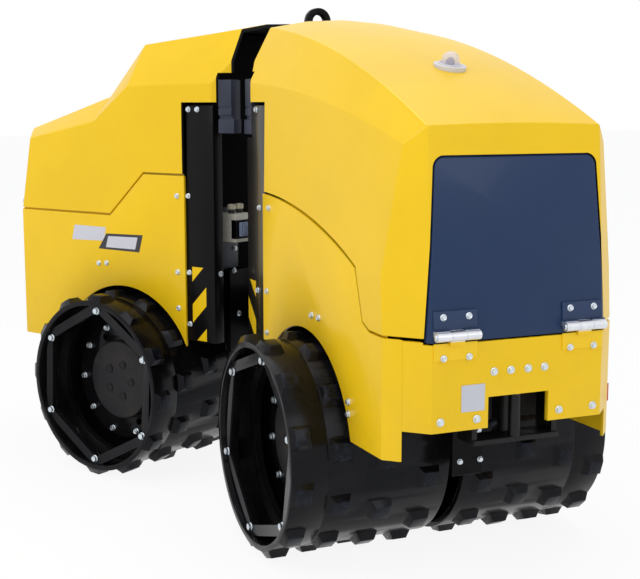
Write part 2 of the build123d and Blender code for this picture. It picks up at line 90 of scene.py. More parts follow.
class Side(Enum):
    """Which face of a module a fitting sits on."""

    END = "end"
    NEAR = "near"
    FAR = "far"
    TOP = "top"
    JOINT = "joint"


class Metal(Enum):
    """Plating of a fastener or a rod: its colour and roughness."""

    ZINC = (0.72, 0.78, 0.82, 0.30)
    CHROME = (0.88, 0.88, 0.90, 0.12)


# --- Materials -----------------------------------------------------------------------------


@dataclass(frozen=True)
class Signal:
    """A socket in a material's node tree that takes part in written sums."""

    graph: "Graph"
    socket: bpy.types.NodeSocket

    def __add__(self, other: "Signal | float") -> "Signal":
        """Return the sum."""
        return self.graph.maths("ADD", self, other)

    def __sub__(self, other: "Signal | float") -> "Signal":
        """Return the difference."""
        return self.graph.maths("SUBTRACT", self, other)

    def __mul__(self, other: "Signal | float") -> "Signal":
        """Return the product."""
        return self.graph.maths("MULTIPLY", self, other)

    def __rsub__(self, other: float) -> "Signal":
        """Return a number less this signal."""
        return self.graph.maths("SUBTRACT", other, self)

    __radd__ = __add__
    __rmul__ = __mul__

    def above(self, level: float) -> "Signal":
        """Return 1 where the signal is over the level and 0 elsewhere."""
        return self.graph.maths("GREATER_THAN", self, level)

    def below(self, level: float) -> "Signal":
        """Return 1 where the signal is under the level and 0 elsewhere."""
        return self.graph.maths("LESS_THAN", self, level)

    def size(self) -> "Signal":
        """Return the signal without its sign."""
        return self.graph.maths("ABSOLUTE", self)

    def clamped(self) -> "Signal":
        """Return the signal kept between 0 and 1."""
        return self.graph.maths("MINIMUM", self.graph.maths("MAXIMUM", self, 0.0), 1.0)

    def between(self, low: float, high: float) -> "Signal":
        """Return a ramp from 0 at the low level to 1 at the high level."""
        return ((self - low) * (1 / (high - low))).clamped()


class Graph:
    """A material's node tree, built from expressions."""

    def __init__(self, name: str) -> None:
        """Start an empty material.

        Args:
            name: the material's name.
        """
        self.material = bpy.data.materials.new(name)
        self.material.use_nodes = True
        self.nodes = self.material.node_tree.nodes
        self.links = self.material.node_tree.links
        self.nodes.clear()
        self.place = self.node("ShaderNodeTexCoord", {}, {}, "Object")

    def node(self, kind: str, settings: dict, inputs: dict, output: str | int = 0) -> Signal:
        """Add one node.

        Args:
            kind: the node's type.
            settings: attributes to set before its sockets are used.
            inputs: values or signals by socket name or number.
            output: the output socket to return.

        Returns:
            The output as a signal.
        """
        made = self.nodes.new(kind)
        for key, value in settings.items():
            setattr(made, key, value)
        for key, value in inputs.items():
            if isinstance(value, Signal):
                self.links.new(value.socket, made.inputs[key])
            else:
                made.inputs[key].default_value = value
        return Signal(self, made.outputs[output])

    def maths(self, operation: str, first: "Signal | float", second: "Signal | float" = 0.0) -> Signal:
        """Return a Math node's result on two signals or numbers."""
        return self.node("ShaderNodeMath", {"operation": operation}, {0: first, 1: second})

    def noise(self, scale: float, detail: float = 2.0, roughness: float = 0.5) -> Signal:
        """Return a noise of the given scale, from 0 to 1."""
        return self.node("ShaderNodeTexNoise", {}, {"Vector": self.place, "Scale": scale, "Detail": detail,
                                                    "Roughness": roughness}, "Fac")

    def streaks(self, scale: float, stretch: tuple[float, float, float]) -> Signal:
        """Return a noise drawn out along some axes, from 0 to 1."""
        along = self.node("ShaderNodeMapping", {}, {"Vector": self.place, "Scale": stretch})
        return self.node("ShaderNodeTexNoise", {}, {"Vector": along, "Scale": scale, "Detail": 3.0}, "Fac")

    def blend(self, amount: "Signal | float", low: "Signal | tuple", high: "Signal | tuple") -> Signal:
        """Mix two colours.

        Args:
            amount: share of the second colour, from 0 to 1.
            low: the first colour.
            high: the second colour.

        Returns:
            The mixed colour.
        """
        made = self.nodes.new("ShaderNodeMix")
        made.data_type = "RGBA"
        for socket, value in ((made.inputs[0], amount), (made.inputs[6], low), (made.inputs[7], high)):
            if isinstance(value, Signal):
                self.links.new(value.socket, socket)
            else:
                socket.default_value = value
        return Signal(self, made.outputs[2])

    def axis(self, name: str) -> Signal:
        """Return one coordinate of the place, in metres."""
        return self.node("ShaderNodeSeparateXYZ", {}, {0: self.place}, name)

    def outward(self, place: "Place") -> Signal:
        """Return the distance outward from the steering axis, in metres."""
        turned = self.axis("X") * math.cos(place.turn) + self.axis("Y") * math.sin(place.turn)
        return turned - (place.origin.x * math.cos(place.turn) + place.origin.y * math.sin(place.turn))

    def sideways(self, place: "Place") -> Signal:
        """Measure how far a spot is from a module's centre plane.

        Args:
            place: the module.

        Returns:
            The distance to either side, in metres.
        """
        turned = self.axis("Y") * math.cos(place.turn) - self.axis("X") * math.sin(place.turn)
        away = turned - (place.origin.y * math.cos(place.turn) - place.origin.x * math.sin(place.turn))
        return away.size()

    def bump(self, height: Signal, distance: float, strength: float = 1.0) -> Signal:
        """Return a normal bent by a height."""
        return self.node("ShaderNodeBump", {}, {"Height": height, "Distance": distance, "Strength": strength})

    def finish(self, **sockets: "Signal | float | tuple") -> bpy.types.Material:
        """Close the tree with a principled shader.

        Args:
            sockets: values by socket name, with underscores for spaces.

        Returns:
            The finished material.
        """
        named = {key.replace("_", " "): value for key, value in sockets.items()}
        self.node_output(self.node("ShaderNodeBsdfPrincipled", {}, named))
        return self.material

    def node_output(self, shader: Signal) -> None:
        """Link a shader to the material's output."""
        out = self.nodes.new("ShaderNodeOutputMaterial")
        self.links.new(shader.socket, out.inputs["Surface"])


def rgb(red: float, green: float, blue: float) -> tuple[float, float, float, float]:
    """Return a colour written as screen values, made linear.

    Args:
        red: red from 0 to 255.
        green: green from 0 to 255.
        blue: blue from 0 to 255.

    Returns:
        Linear red, green, blue and alpha.
    """
    def linear(value: float) -> float:
        """Return one screen value made linear."""
        share = value / 255
        return share / 12.92 if share <= 0.04045 else ((share + 0.055) / 1.055) ** 2.4
    return (linear(red), linear(green), linear(blue), 1.0)


YELLOW = rgb(241, 197, 20)
BLACK = rgb(12, 11, 13)
NAVY = rgb(34, 54, 88)


@dataclass(frozen=True)
class Paint:
    """Sprayed paint with orange peel, uneven gloss and a little dust low down."""

    name: str
    colour: tuple[float, float, float, float]
    roughness: float = 0.36
    coat: float = 0.09
    specular: float = 0.22
    peel: float = 0.00010
    dust: float = 0.10
    dust_colour: tuple[float, float, float, float] = rgb(150, 132, 96)

    def colours(self, graph: Graph) -> Signal:
        """Colour the paint, with its clouding and its dust.

        Args:
            graph: the material's node tree.

        Returns:
            The colour.
        """
        cloud = graph.noise(2.6, 4.0, 0.6)
        deep = tuple(part * 0.93 for part in self.colour[:3]) + (1.0,)
        base = graph.blend(cloud.between(0.35, 0.65), deep, self.colour)
        low = 1.0 - graph.axis("Z").between(0.25, 0.62)
        film = graph.noise(14.0, 5.0, 0.65).between(0.45, 0.75) * (low * self.dust + self.dust * 0.12)
        return graph.blend(film, base, self.dust_colour)

    def gloss(self, graph: Graph) -> Signal:
        """Return the paint's roughness, smeared here and there."""
        return graph.noise(5.0, 4.0, 0.65) * 0.14 + (self.roughness - 0.07)

    def surface(self, graph: Graph) -> Signal:
        """Return the normal of the paint's orange peel."""
        return graph.bump(graph.noise(170.0, 2.0, 0.55), self.peel)

    def build(self) -> bpy.types.Material:
        """Make the paint's material.

        Returns:
            The material.
        """
        graph = Graph(self.name)
        return graph.finish(Base_Color=self.colours(graph), Roughness=self.gloss(graph), Normal=self.surface(graph),
                            Specular_IOR_Level=self.specular, Coat_Weight=self.coat, Coat_Roughness=0.07)


@dataclass(frozen=True)
class PanelPaint:
    """Yellow plate whose inner side, behind its thickness, is black, as its notches are.

    Each notch is its half width and its top.
    """

    name: str
    place: "Place"
    thickness: float = 12.6
    notches: tuple[tuple[float, float], ...] = ((72.5, 453.5), (204.0, 388.0))

    def build(self) -> bpy.types.Material:
        """Make the two-sided plate's material.

        Returns:
            The material.
        """
        graph = Graph(self.name)
        sizes = self.place.sizes
        yellow, black = Paint("", YELLOW), Paint("", BLACK, dust=0.03)
        out, side, height = graph.outward(self.place), graph.sideways(self.place), graph.axis("Z")
        shown = graph.maths("MAXIMUM", out.above((sizes.end - self.thickness) * MM),
                            (out + side).above(sizes.corner * MM))
        for half, top in self.notches:
            shown = shown * (1.0 - side.below(half * MM) * height.below(top * MM))
        colour = graph.blend(shown, black.colours(graph), yellow.colours(graph))
        return graph.finish(Base_Color=colour, Roughness=yellow.gloss(graph), Normal=yellow.surface(graph),
                            Specular_IOR_Level=0.22, Coat_Weight=0.1, Coat_Roughness=0.07)


@dataclass(frozen=True)
class DrumPaint:
    """Black paint on rolled plate: mill waviness, a film of dust, and scuffed pads whose scuffs carry a painted
    bluish sheen that stands for the sky's reflection.
    """

    name: str
    place: "Place"
    pad_from: float = 256
    fade: float = 2.5

    def build(self) -> bpy.types.Material:
        """Make the drum's material.

        Returns:
            The material.
        """
        graph = Graph(self.name)
        out, height = graph.outward(self.place), graph.axis("Z")
        dx = out - AXLE[0] * MM
        dz = height - (AXLE[1] * MM + self.place.origin.z)
        radius = graph.maths("SQRT", dx * dx + dz * dz)
        pads = radius.between(self.pad_from * MM, (self.pad_from + self.fade) * MM)
        # Marks on the pads that are partly real scuffs and partly a painted sky reflection.
        scuff_and_sky_sheen = graph.noise(60.0, 5.0, 0.7).between(0.42, 0.68) * pads
        film = graph.noise(9.0, 5.0, 0.65).between(0.42, 0.8)
        colour = graph.blend(film * 0.07, BLACK, rgb(96, 88, 80))
        # Painted reflection: the pads' scuffs are blended toward blue, a stand-in for the sky's reflection over the
        # wear.
        colour = graph.blend(scuff_and_sky_sheen * 0.13, colour, rgb(64, 78, 110))
        rough = graph.noise(24.0, 4.0, 0.6) * 0.14 + 0.16 + scuff_and_sky_sheen * 0.08
        wave = graph.noise(30.0, 3.0, 0.6) * 0.8 + graph.noise(240.0, 2.0, 0.5) * 0.16
        # The blue specular tint is a painted sky reflection: it turns the white world's reflections blue.
        return graph.finish(Base_Color=colour, Roughness=rough, Normal=graph.bump(wave, 0.0006),
                            Specular_IOR_Level=0.13, Specular_Tint=(0.82, 0.88, 1.0, 1.0), Coat_Weight=0.04,
                            Coat_Roughness=0.10)


@dataclass(frozen=True)
class Plating:
    """Zinc or chrome plating, with a fine grain and slight clouding."""

    name: str
    metal: Metal
    grain: float = 420.0

    def build(self) -> bpy.types.Material:
        """Make the plating's material.

        Returns:
            The material.
        """
        graph = Graph(self.name)
        red, green, blue, roughness = self.metal.value
        cloud = graph.noise(45.0, 3.0, 0.6)
        colour = graph.blend(cloud, (red, green, blue, 1.0), (red * 0.78, green * 0.79, blue * 0.82, 1.0))
        return graph.finish(Base_Color=colour, Metallic=0.9, Roughness=cloud * 0.2 + (roughness - 0.08),
                            Normal=graph.bump(graph.noise(self.grain, 2.0), 0.00008))


@dataclass(frozen=True)
class HingeFinish:
    """Painted leaves with a bare zinc barrel between them."""

    name: str
    barrel: float
    above: tuple[float, float, float, float]
    below: tuple[float, float, float, float] = YELLOW
    radius: float = 11.2

    def build(self) -> bpy.types.Material:
        """Make the hinge's material.

        Returns:
            The material.
        """
        graph = Graph(self.name)
        height = graph.axis("Z")
        bare = (height - self.barrel * MM).size().below(self.radius * MM)
        paint = graph.blend(height.above(self.barrel * MM), self.below, self.above)
        cloud = graph.noise(60.0, 3.0, 0.6)
        zinc = graph.blend(cloud, (0.84, 0.86, 0.90, 1.0), (0.66, 0.68, 0.72, 1.0))
        return graph.finish(Base_Color=graph.blend(bare, paint, zinc), Metallic=bare * 0.85,
                            Roughness=cloud * 0.14 + 0.26, Normal=graph.bump(graph.noise(170.0, 2.0), 0.0001),
                            Specular_IOR_Level=0.35)


@dataclass(frozen=True)
class Stripes:
    """Warning stripes on the outer face of the black plates beside the joint.

    The stripes stand between two heights and two distances outward, on what is farther to the
    side than the face. One starts where the height and the distance outward add up to the start.
    """

    name: str
    place: "Place"
    high: float
    start: float
    share: float
    edges: tuple[float, float]
    gloss: float
    low: float = 404
    face: float = 263
    pitch: float = 115

    def build(self) -> bpy.types.Material:
        """Make the striped material.

        Returns:
            The material.
        """
        graph = Graph(self.name)
        paint = Paint("", BLACK, dust=0.03)
        height, out = graph.axis("Z"), graph.outward(self.place)
        # Ten whole steps are added because a fraction is taken, which has to be of a positive number.
        phase = graph.maths("FRACT", (height + out - self.start * MM + 10 * self.pitch * MM) * (1000 / self.pitch))
        band = phase.below(self.share) * height.above(self.low * MM) * height.below(self.high * MM)
        band = band * graph.sideways(self.place).above(self.face * MM)
        band = band * out.above(self.edges[0] * MM) * out.below(self.edges[1] * MM)
        worn = 1.0 - graph.noise(55.0, 5.0, 0.7).between(0.66, 0.74) * 0.5
        colour = graph.blend(band * worn, paint.colours(graph), YELLOW)
        return graph.finish(Base_Color=colour, Roughness=paint.gloss(graph), Normal=paint.surface(graph),
                            Specular_IOR_Level=0.09 + 0.4 * self.gloss, Coat_Weight=0.04 + 0.8 * self.gloss,
                            Coat_Roughness=0.06)


@dataclass(frozen=True)
class ValveFinish:
    """Machined block with its tool marks, on a painted plate, under pale knobs."""

    name: str
    place: "Place"
    plate_from: float
    top: float

    def build(self) -> bpy.types.Material:
        """Make the valve block's material.

        Returns:
            The material.
        """
        graph = Graph(self.name)
        plate = graph.outward(self.place).above(self.plate_from * MM)
        knob = graph.axis("Z").above(self.top * MM) * (1.0 - plate)
        marks = graph.streaks(240.0, (0.15, 0.15, 1.0))
        metal = graph.blend(marks, rgb(250, 246, 226), rgb(214, 211, 198))
        colour = graph.blend(plate, graph.blend(knob, metal, rgb(58, 56, 54)), rgb(34, 42, 60))
        return graph.finish(Base_Color=colour, Metallic=(1.0 - plate) * (1.0 - knob) * 0.12,
                            Roughness=marks * 0.15 + 0.36, Normal=graph.bump(marks, 0.00012))


@dataclass(frozen=True)
class Plastic:
    """Moulded plastic with a fine texture, clear where its cover is below 1."""

    name: str
    colour: tuple[float, float, float, float]
    roughness: float = 0.4
    cover: float = 1.0
    texture: float = 0.00006
    mottle: float = 0.08

    def build(self) -> bpy.types.Material:
        """Make the plastic's material.

        Returns:
            The material.
        """
        graph = Graph(self.name)
        cloud = graph.noise(30.0, 3.0, 0.55)
        dark = tuple(part * (1 - 2 * self.mottle) for part in self.colour[:3]) + (1.0,)
        return graph.finish(Base_Color=graph.blend(cloud, self.colour, dark),
                            Roughness=cloud * 0.12 + (self.roughness - 0.06), Alpha=self.cover,
                            Normal=graph.bump(graph.noise(520.0, 2.0), self.texture), Specular_IOR_Level=0.3)


@dataclass(frozen=True)
class Reflector:
    """Red lens with a pattern of small prisms behind its face."""

    name: str
    cell: float = 0.004

    def build(self) -> bpy.types.Material:
        """Make the lens's material.

        Returns:
            The material.
        """
        graph = Graph(self.name)
        cells = graph.node("ShaderNodeTexVoronoi", {"feature": "F1"}, {"Vector": graph.place,
                                                                       "Scale": 1 / self.cell}, "Distance")
        colour = graph.blend(cells, rgb(214, 60, 62), rgb(150, 18, 22))
        return graph.finish(Base_Color=colour, Roughness=cells * 0.1 + 0.14,
                            Normal=graph.bump(cells, 0.0004), Coat_Weight=0.6, Coat_Roughness=0.03)


# --- Places and tools ----------------------------------------------------------------------


Points = tuple[tuple[float, float], ...]


@dataclass(frozen=True)
class Sizes:
    """Measures in which the two modules differ. A point is its distance outward and its height.

    Attributes:
        end: distance outward of the end plate's face.
        corner: distance outward and sideways, added up, of the face of its cut corners.
        hinge: height of the hood's hinge pins.
        core: a point inside the hood.
        turns: turn in degrees of the drums' frames, of their hub bolts and of their caps.
        seam: points of the seam under the hood.
        panel_bolts: points of the bolts on a side panel.
        cheek_bolts: points of the bolts on a plate beside the joint.
    """

    end: float
    corner: float
    hinge: float
    core: tuple[float, float]
    turns: tuple[float, float, float]
    seam: Points
    panel_bolts: Points
    cheek_bolts: Points


FRONT_SIZES = Sizes(
    end=1005, corner=1192, hinge=589, core=(600, 640), turns=(0, 46, 10),
    seam=((262, 817), (495, 800), (795, 706), (832, 596), (868, 580), (930, 579)),
    panel_bolts=((297, 796), (281, 586), (281, 481), (567, 570), (608, 570), (769, 411), (769, 384)),
    cheek_bolts=((211, 790), (194, 576), (192, 1036)))
REAR_SIZES = Sizes(
    end=1020, corner=1210, hinge=748, core=(560, 760), turns=(15, 54, -14),
    seam=((280, 856), (425, 856), (563, 733), (945, 733)),
    panel_bolts=((296, 801), (297, 590), (296, 489), (614, 591), (581, 594)),
    cheek_bolts=((261, 802), (261, 591), (261, 447), (256, 1036), (224, 1036)))


@dataclass(frozen=True)
class Place:
    """Where a module stands: its X runs outward from the steering axis."""

    name: str
    body: str
    turn: float
    near: int
    origin: Vector
    sizes: Sizes

    @property
    def matrix(self) -> Matrix:
        """Return the matrix from the module to the frame."""
        return Matrix.Translation(self.origin) @ Matrix.Rotation(self.turn, 4, "Z")

    def at(self, out: float, across: float, up: float) -> Vector:
        """Return a point of the module in the frame.

        Args:
            out: distance outward from the steering axis.
            across: distance from the centre plane toward the seen side.
            up: height over the ground.

        Returns:
            The point, in metres.
        """
        return self.matrix @ Vector((out * MM, across * self.near * MM, up * MM))

    def facing(self, side: Side) -> Vector:
        """Turn a side of the module into a direction.

        Args:
            side: the side.

        Returns:
            Its outward direction in the frame.
        """
        local = {Side.END: Vector((1, 0, 0)), Side.NEAR: Vector((0, self.near, 0)),
                 Side.FAR: Vector((0, -self.near, 0)), Side.TOP: Vector((0, 0, 1)),
                 Side.JOINT: Vector((-1, 0, 0))}[side]
        return self.matrix.to_3x3() @ local


def joint(name: str) -> dict:
    """Return a joint's entry by name."""
    return next(entry for entry in frame["joints"] if entry["name"] == name)


def places() -> tuple[Place, Place]:
    """Read where the modules stand.

    Returns:
        The places of the front and rear modules.
    """
    pivot = Vector(joint("steering")["pos_m"])
    axle = joint("front_left_drum_spin")["pos_m"]
    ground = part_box("front_left_drum")[0].z
    lug_tip = (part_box("front_left_drum")[1].z - ground) / 2
    pivot.z = axle[2] - lug_tip
    along = joint("oscillation")["axis"]
    steer = math.atan2(along[1], along[0])
    return (Place("front", "front_module", 0.0, -1, pivot, FRONT_SIZES),
            Place("rear", "rear_module", math.pi + steer, 1, pivot, REAR_SIZES))


def body_of(node: str) -> str:
    """Return the name of the body that carries a node."""
    return frame["nodes"][node]["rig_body"]


def only(obj: bpy.types.Object) -> None:
    """Select one object and make it active.

    Args:
        obj: the object.
    """
    bpy.ops.object.select_all(action="DESELECT")
    obj.select_set(True)
    bpy.context.view_layer.objects.active = obj


def settle(obj: bpy.types.Object) -> bpy.types.Object:
    """Move a piece's place into its mesh, so that its object sits at the origin.

    Args:
        obj: the piece.

    Returns:
        The same piece.
    """
    only(obj)
    bpy.ops.object.transform_apply(location=True, rotation=True, scale=True)
    return obj


def coat(obj: bpy.types.Object, material: bpy.types.Material) -> None:
    """Give a piece one material."""
    obj.data.materials.clear()
    obj.data.materials.append(material)


def rod(name: str, radius: float, depth: float, sides: int = 32,
        at: tuple[float, float, float] = (0, 0, 0)) -> bpy.types.Object:
    """Add a round or many-sided bar along Z with its foot at a point.

    Args:
        name: the new object's name.
        radius: distance from the axis to the corners.
        depth: length.
        sides: number of faces round it.
        at: foot of the bar.

    Returns:
        The bar, placed in its mesh.
    """
    bpy.ops.object.select_all(action="DESELECT")
    bpy.ops.mesh.primitive_cylinder_add(vertices=sides, radius=radius * MM, depth=depth * MM)
    obj = bpy.context.object
    obj.name = name
    obj.matrix_world = Matrix.Translation(Vector(at) * MM) @ Matrix.Translation((0, 0, depth * MM / 2))
    return settle(obj)


def slab(name: str, size: tuple[float, float, float]) -> bpy.types.Object:
    """Add a block with its foot's centre at the origin.

    Args:
        name: the new object's name.
        size: lengths along X, Y and Z.

    Returns:
        The block, placed in its mesh.
    """
    bpy.ops.object.select_all(action="DESELECT")
    bpy.ops.mesh.primitive_cube_add(size=1)
    obj = bpy.context.object
    obj.name = name
    obj.scale = Vector(size) * MM
    obj.location = (0, 0, size[2] / 2 * MM)
    return settle(obj)


def pick(obj: bpy.types.Object, wanted: Callable[[bpy.types.MeshPolygon], bool]) -> None:
    """Enter edit mode with only the wanted faces selected.

    Args:
        obj: the piece.
        wanted: tells whether a face is wanted.
    """
    only(obj)
    bpy.ops.object.mode_set(mode="EDIT")
    bpy.ops.mesh.select_mode(type="FACE")
    bpy.ops.mesh.select_all(action="DESELECT")
    bpy.ops.object.mode_set(mode="OBJECT")
    for face in obj.data.polygons:
        face.select = wanted(face)
    bpy.ops.object.mode_set(mode="EDIT")


def pick_top(obj: bpy.types.Object) -> None:
    """Enter edit mode with the highest upward faces selected."""
    high = max(vertex.co.z for vertex in obj.data.vertices)
    pick(obj, lambda face: face.normal.z > 0.9 and face.center.z > high - LEVEL)


def leave() -> None:
    """Go back to object mode."""
    bpy.ops.object.mode_set(mode="OBJECT")


def round_edges(obj: bpy.types.Object, width: float, segments: int = 2, angle: float = 30.0) -> bpy.types.Object:
    """Round the edges of a piece.

    Args:
        obj: the piece.
        width: width of the rounding.
        segments: faces across it.
        angle: edges sharper than this many degrees are rounded.

    Returns:
        The same piece.
    """
    only(obj)
    bevel = obj.modifiers.new("edges", "BEVEL")
    bevel.width = width * MM
    bevel.segments = segments
    bevel.limit_method = "ANGLE"
    bevel.angle_limit = math.radians(angle)
    bpy.ops.object.modifier_apply(modifier=bevel.name)
    bpy.ops.object.shade_smooth_by_angle(angle=math.radians(SMOOTH))
    return obj


def merged_copy(node: str) -> bpy.types.Object:
    """Copy a carried-over piece with its loose triangles merged into flat faces.

    Args:
        node: the node's name.

    Returns:
        The copy.
    """
    obj = bpy.data.objects.new(f"{node}_finished", frame["nodes"][node].data.copy())
    bpy.context.scene.collection.objects.link(obj)
    only(obj)
    bpy.ops.object.mode_set(mode="EDIT")
    bpy.ops.mesh.select_all(action="SELECT")
    bpy.ops.mesh.remove_doubles(threshold=WELD)
    bpy.ops.mesh.dissolve_limited(angle_limit=math.radians(FLAT))
    bpy.ops.mesh.customdata_custom_splitnormals_clear()
    leave()
    return obj


def joined(name: str, pieces: Iterable[bpy.types.Object]) -> bpy.types.Object:
    """Join pieces into one object.

    Args:
        name: the joined object's name.
        pieces: the objects to join.

    Returns:
        The joined object.
    """
    pieces = list(pieces)
    bpy.ops.object.select_all(action="DESELECT")
    for piece in pieces:
        piece.select_set(True)
    bpy.context.view_layer.objects.active = pieces[0]
    if len(pieces) > 1:
        bpy.ops.object.join()
    pieces[0].name = name
    return pieces[0]


class Skin:
    """Outer surface of carried-over pieces, found along straight lines."""

    def __init__(self, *nodes: str) -> None:
        """Read the pieces' surfaces.

        Args:
            nodes: names of the nodes.
        """
        self.trees = []
        for node in nodes:
            mesh = frame["nodes"][node].data
            self.trees.append(BVHTree.FromPolygons([vertex.co for vertex in mesh.vertices],
                                                   [tuple(face.vertices) for face in mesh.polygons]))

    def meet(self, place: Place, side: Side, out: float, across: float, up: float) -> tuple[Vector, Vector]:
        """Find the surface seen from a side of the module.

        Args:
            place: the module.
            side: the side from which the surface is looked at.
            out: distance outward of the line.
            across: distance of the line toward the seen side.
            up: height of the line.

        Returns:
            The point on the surface and the surface's outward direction.
        """
        away = place.facing(side)
        start = {Side.END: (1500, across, up), Side.NEAR: (out, 900, up), Side.FAR: (out, -900, up),
                 Side.TOP: (out, across, 2000), Side.JOINT: (-300, across, up)}[side]
        found = [tree.ray_cast(place.at(*start), -away) for tree in self.trees]
        found = [hit for hit in found if hit[0] is not None]
        if not found:
            raise ValueError(f"nothing met at {place.name} {side.value} {out} {across} {up}")
        spot, normal, _, _ = min(found, key=lambda hit: hit[3])
        return spot, normal if normal.dot(away) > 0 else -normal


def stood(spot: Vector, normal: Vector, spin: float = 0.0) -> Matrix:
    """Return the matrix that stands a piece drawn on Z upon a surface.

    Args:
        spot: the point that the piece's foot goes to.
        normal: direction of the piece's Z.
        spin: turn about that direction, in degrees.

    Returns:
        The placing matrix.
    """
    turned = normal.to_track_quat("Z", "Y").to_matrix().to_4x4()
    return Matrix.Translation(spot) @ turned @ Matrix.Rotation(math.radians(spin), 4, "Z")


def copies(model: bpy.types.Object, name: str, matrices: Iterable[Matrix]) -> bpy.types.Object:
    """Copy a model to several places, remove the model and join the copies.

    Args:
        model: the piece to copy.
        name: name of the joined piece.
        matrices: where the copies go.

    Returns:
        The joined piece, at the origin.
    """
    made = []
    for index, matrix in enumerate(matrices):
        copy = bpy.data.objects.new(f"{name}_{index}", model.data.copy())
        bpy.context.scene.collection.objects.link(copy)
        copy.matrix_world = matrix
        made.append(copy)
    bpy.data.objects.remove(model)
    for copy in made:
        settle(copy)
    return joined(name, made)


# --- Fasteners -----------------------------------------------------------------------------


@dataclass(frozen=True)
class FlangeBolt:
    """Hexagon bolt with a round flange under its head."""

    flange: float = 8.0
    across: float = 11.0
    height: float = 6.0

    def build(self) -> bpy.types.Object:
        """Make one bolt that stands on the origin along Z.

        Returns:
            The bolt.
        """
        seat = rod("seat", self.flange, 1.9, 28, (0, 0, -0.3))
        pick_top(seat)
        bpy.ops.mesh.inset(thickness=self.flange * 0.22 * MM)
        bpy.ops.transform.translate(value=(0, 0, 0.7 * MM))
        leave()
        round_edges(seat, 0.4, 1)
        head = rod("head", self.across / math.sqrt(3), self.height - 1.0, 6, (0, 0, 1.0))
        pick_top(head)
        bpy.ops.mesh.inset(thickness=self.across * 0.10 * MM)
        bpy.ops.transform.translate(value=(0, 0, 0.7 * MM))
        bpy.ops.mesh.inset(thickness=self.across * 0.10 * MM)
        bpy.ops.transform.translate(value=(0, 0, -0.5 * MM))
        leave()
        round_edges(head, 0.35, 2, 25)
        return joined("bolt", [seat, head])


@dataclass(frozen=True)
class CapPlug:
    """Low round cap with a ring groove."""

    radius: float = 13.0
    height: float = 2.4

    def build(self) -> bpy.types.Object:
        """Make one cap that stands on the origin along Z.

        Returns:
            The cap.
        """
        cap = rod("cap", self.radius, self.height + 0.5, 36, (0, 0, -0.5))
        pick_top(cap)
        bpy.ops.mesh.inset(thickness=self.radius * 0.24 * MM)
        bpy.ops.mesh.extrude_region_move(TRANSFORM_OT_translate={"value": (0, 0, -1.6 * MM)})
        bpy.ops.mesh.inset(thickness=self.radius * 0.16 * MM)
        bpy.ops.mesh.extrude_region_move(TRANSFORM_OT_translate={"value": (0, 0, 1.6 * MM)})
        leave()
        return round_edges(cap, 0.5, 2)


@dataclass(frozen=True)
class BoltSet:
    """Bolts of one kind on one side of a module's pieces."""

    name: str
    nodes: tuple[str, ...]
    side: Side
    spots: tuple[tuple[float, float, float], ...]
    bolt: FlangeBolt = FlangeBolt()

    def build(self, place: Place, material: bpy.types.Material) -> bpy.types.Object:
        """Make the bolts on the surface that carries them.

        Args:
            place: the module.
            material: the bolts' plating.

        Returns:
            The joined bolts.
        """
        skin = Skin(*self.nodes)
        matrices = [stood(*skin.meet(place, self.side, *spot), spin=17.0 * index)
                    for index, spot in enumerate(self.spots)]
        piece = copies(self.bolt.build(), f"{place.name}_{self.name}", matrices)
        coat(piece, material)
        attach(piece, body_of(self.nodes[0]))
        return piece


# --- Sub-assemblies ------------------------------------------------------------------------


@dataclass(frozen=True)
class Finishes:
    """All finishes of the roller, built once."""

    front: Place
    rear: Place

    def build(self) -> dict[str, bpy.types.Material]:
        """Build every finish.

        Returns:
            The materials by finish name.
        """
        kinds = {
            "yellow": Paint("yellow_paint", YELLOW),
            "black": Paint("black_paint", BLACK, coat=0.02, specular=0.08, dust=0.02),
            "frame": Paint("frame_paint", BLACK, roughness=0.7, coat=0.0, specular=0.03, dust=0.03),
            "cover": Paint("cover_paint", NAVY, roughness=0.3, coat=0.08, specular=0.16, dust=0.04),
            "buffer": Plastic("buffer_rubber", rgb(44, 50, 66), roughness=0.5, texture=0.0001),
            "hub": Paint("hub_paint", rgb(32, 31, 34), roughness=0.42, coat=0.03, specular=0.16, dust=0.06),
            "zinc": Plating("zinc_plate", Metal.ZINC),
            "chrome": Plating("chrome_rod", Metal.CHROME),
            "engine": Paint("engine_metal", rgb(30, 30, 32), roughness=0.6, coat=0.0, specular=0.2, dust=0.2),
            "flange": Plastic("receiver_flange", rgb(214, 212, 214), roughness=0.45),
            "dome": Plastic("receiver_lens", rgb(246, 242, 252), roughness=0.15, cover=0.45),
            "core": Plastic("receiver_core", rgb(66, 54, 120), roughness=0.35),
            "plate": Plastic("blank_plate", rgb(196, 198, 206), roughness=0.3, texture=0.00003, mottle=0.04),
            "decal": Plastic("blank_decal", rgb(206, 206, 214), roughness=0.35, texture=0.00003, mottle=0.03),
            "dark_decal": Plastic("dark_decal", rgb(58, 56, 62), roughness=0.35, texture=0.00003, mottle=0.04),
            "coil": Plastic("valve_coil", rgb(140, 154, 180), roughness=0.4),
            "grip": Plastic("valve_grips", rgb(252, 245, 214), roughness=0.4),
            "lining": Plastic("hood_lining", rgb(16, 15, 17), roughness=0.85, texture=0.0004, mottle=0.2),
            "reflector": Reflector("red_reflector"),
            "front_drum": DrumPaint("front_drum_paint", self.front),
            "rear_drum": DrumPaint("rear_drum_paint", self.rear),
            "front_plate": PanelPaint("front_plate_paint", self.front),
            "rear_plate": PanelPaint("rear_plate_paint", self.rear),
            "front_hinge": HingeFinish("front_hinge_finish", self.front.sizes.hinge, above=NAVY),
            "rear_hinge": HingeFinish("rear_hinge_finish", self.rear.sizes.hinge, above=YELLOW),
            "front_cheek": Stripes("front_joint_stripes", self.front, high=598, start=618, share=0.49,
                                   edges=(100, 178), gloss=0.6),
            "rear_cheek": Stripes("rear_joint_stripes", self.rear, high=608, start=588, share=0.45,
                                  edges=(200, 251), gloss=0.0),
            "valve": ValveFinish("valve_finish", self.rear, plate_from=227, top=750.7),
        }
        return {name: kind.build() for name, kind in kinds.items()}


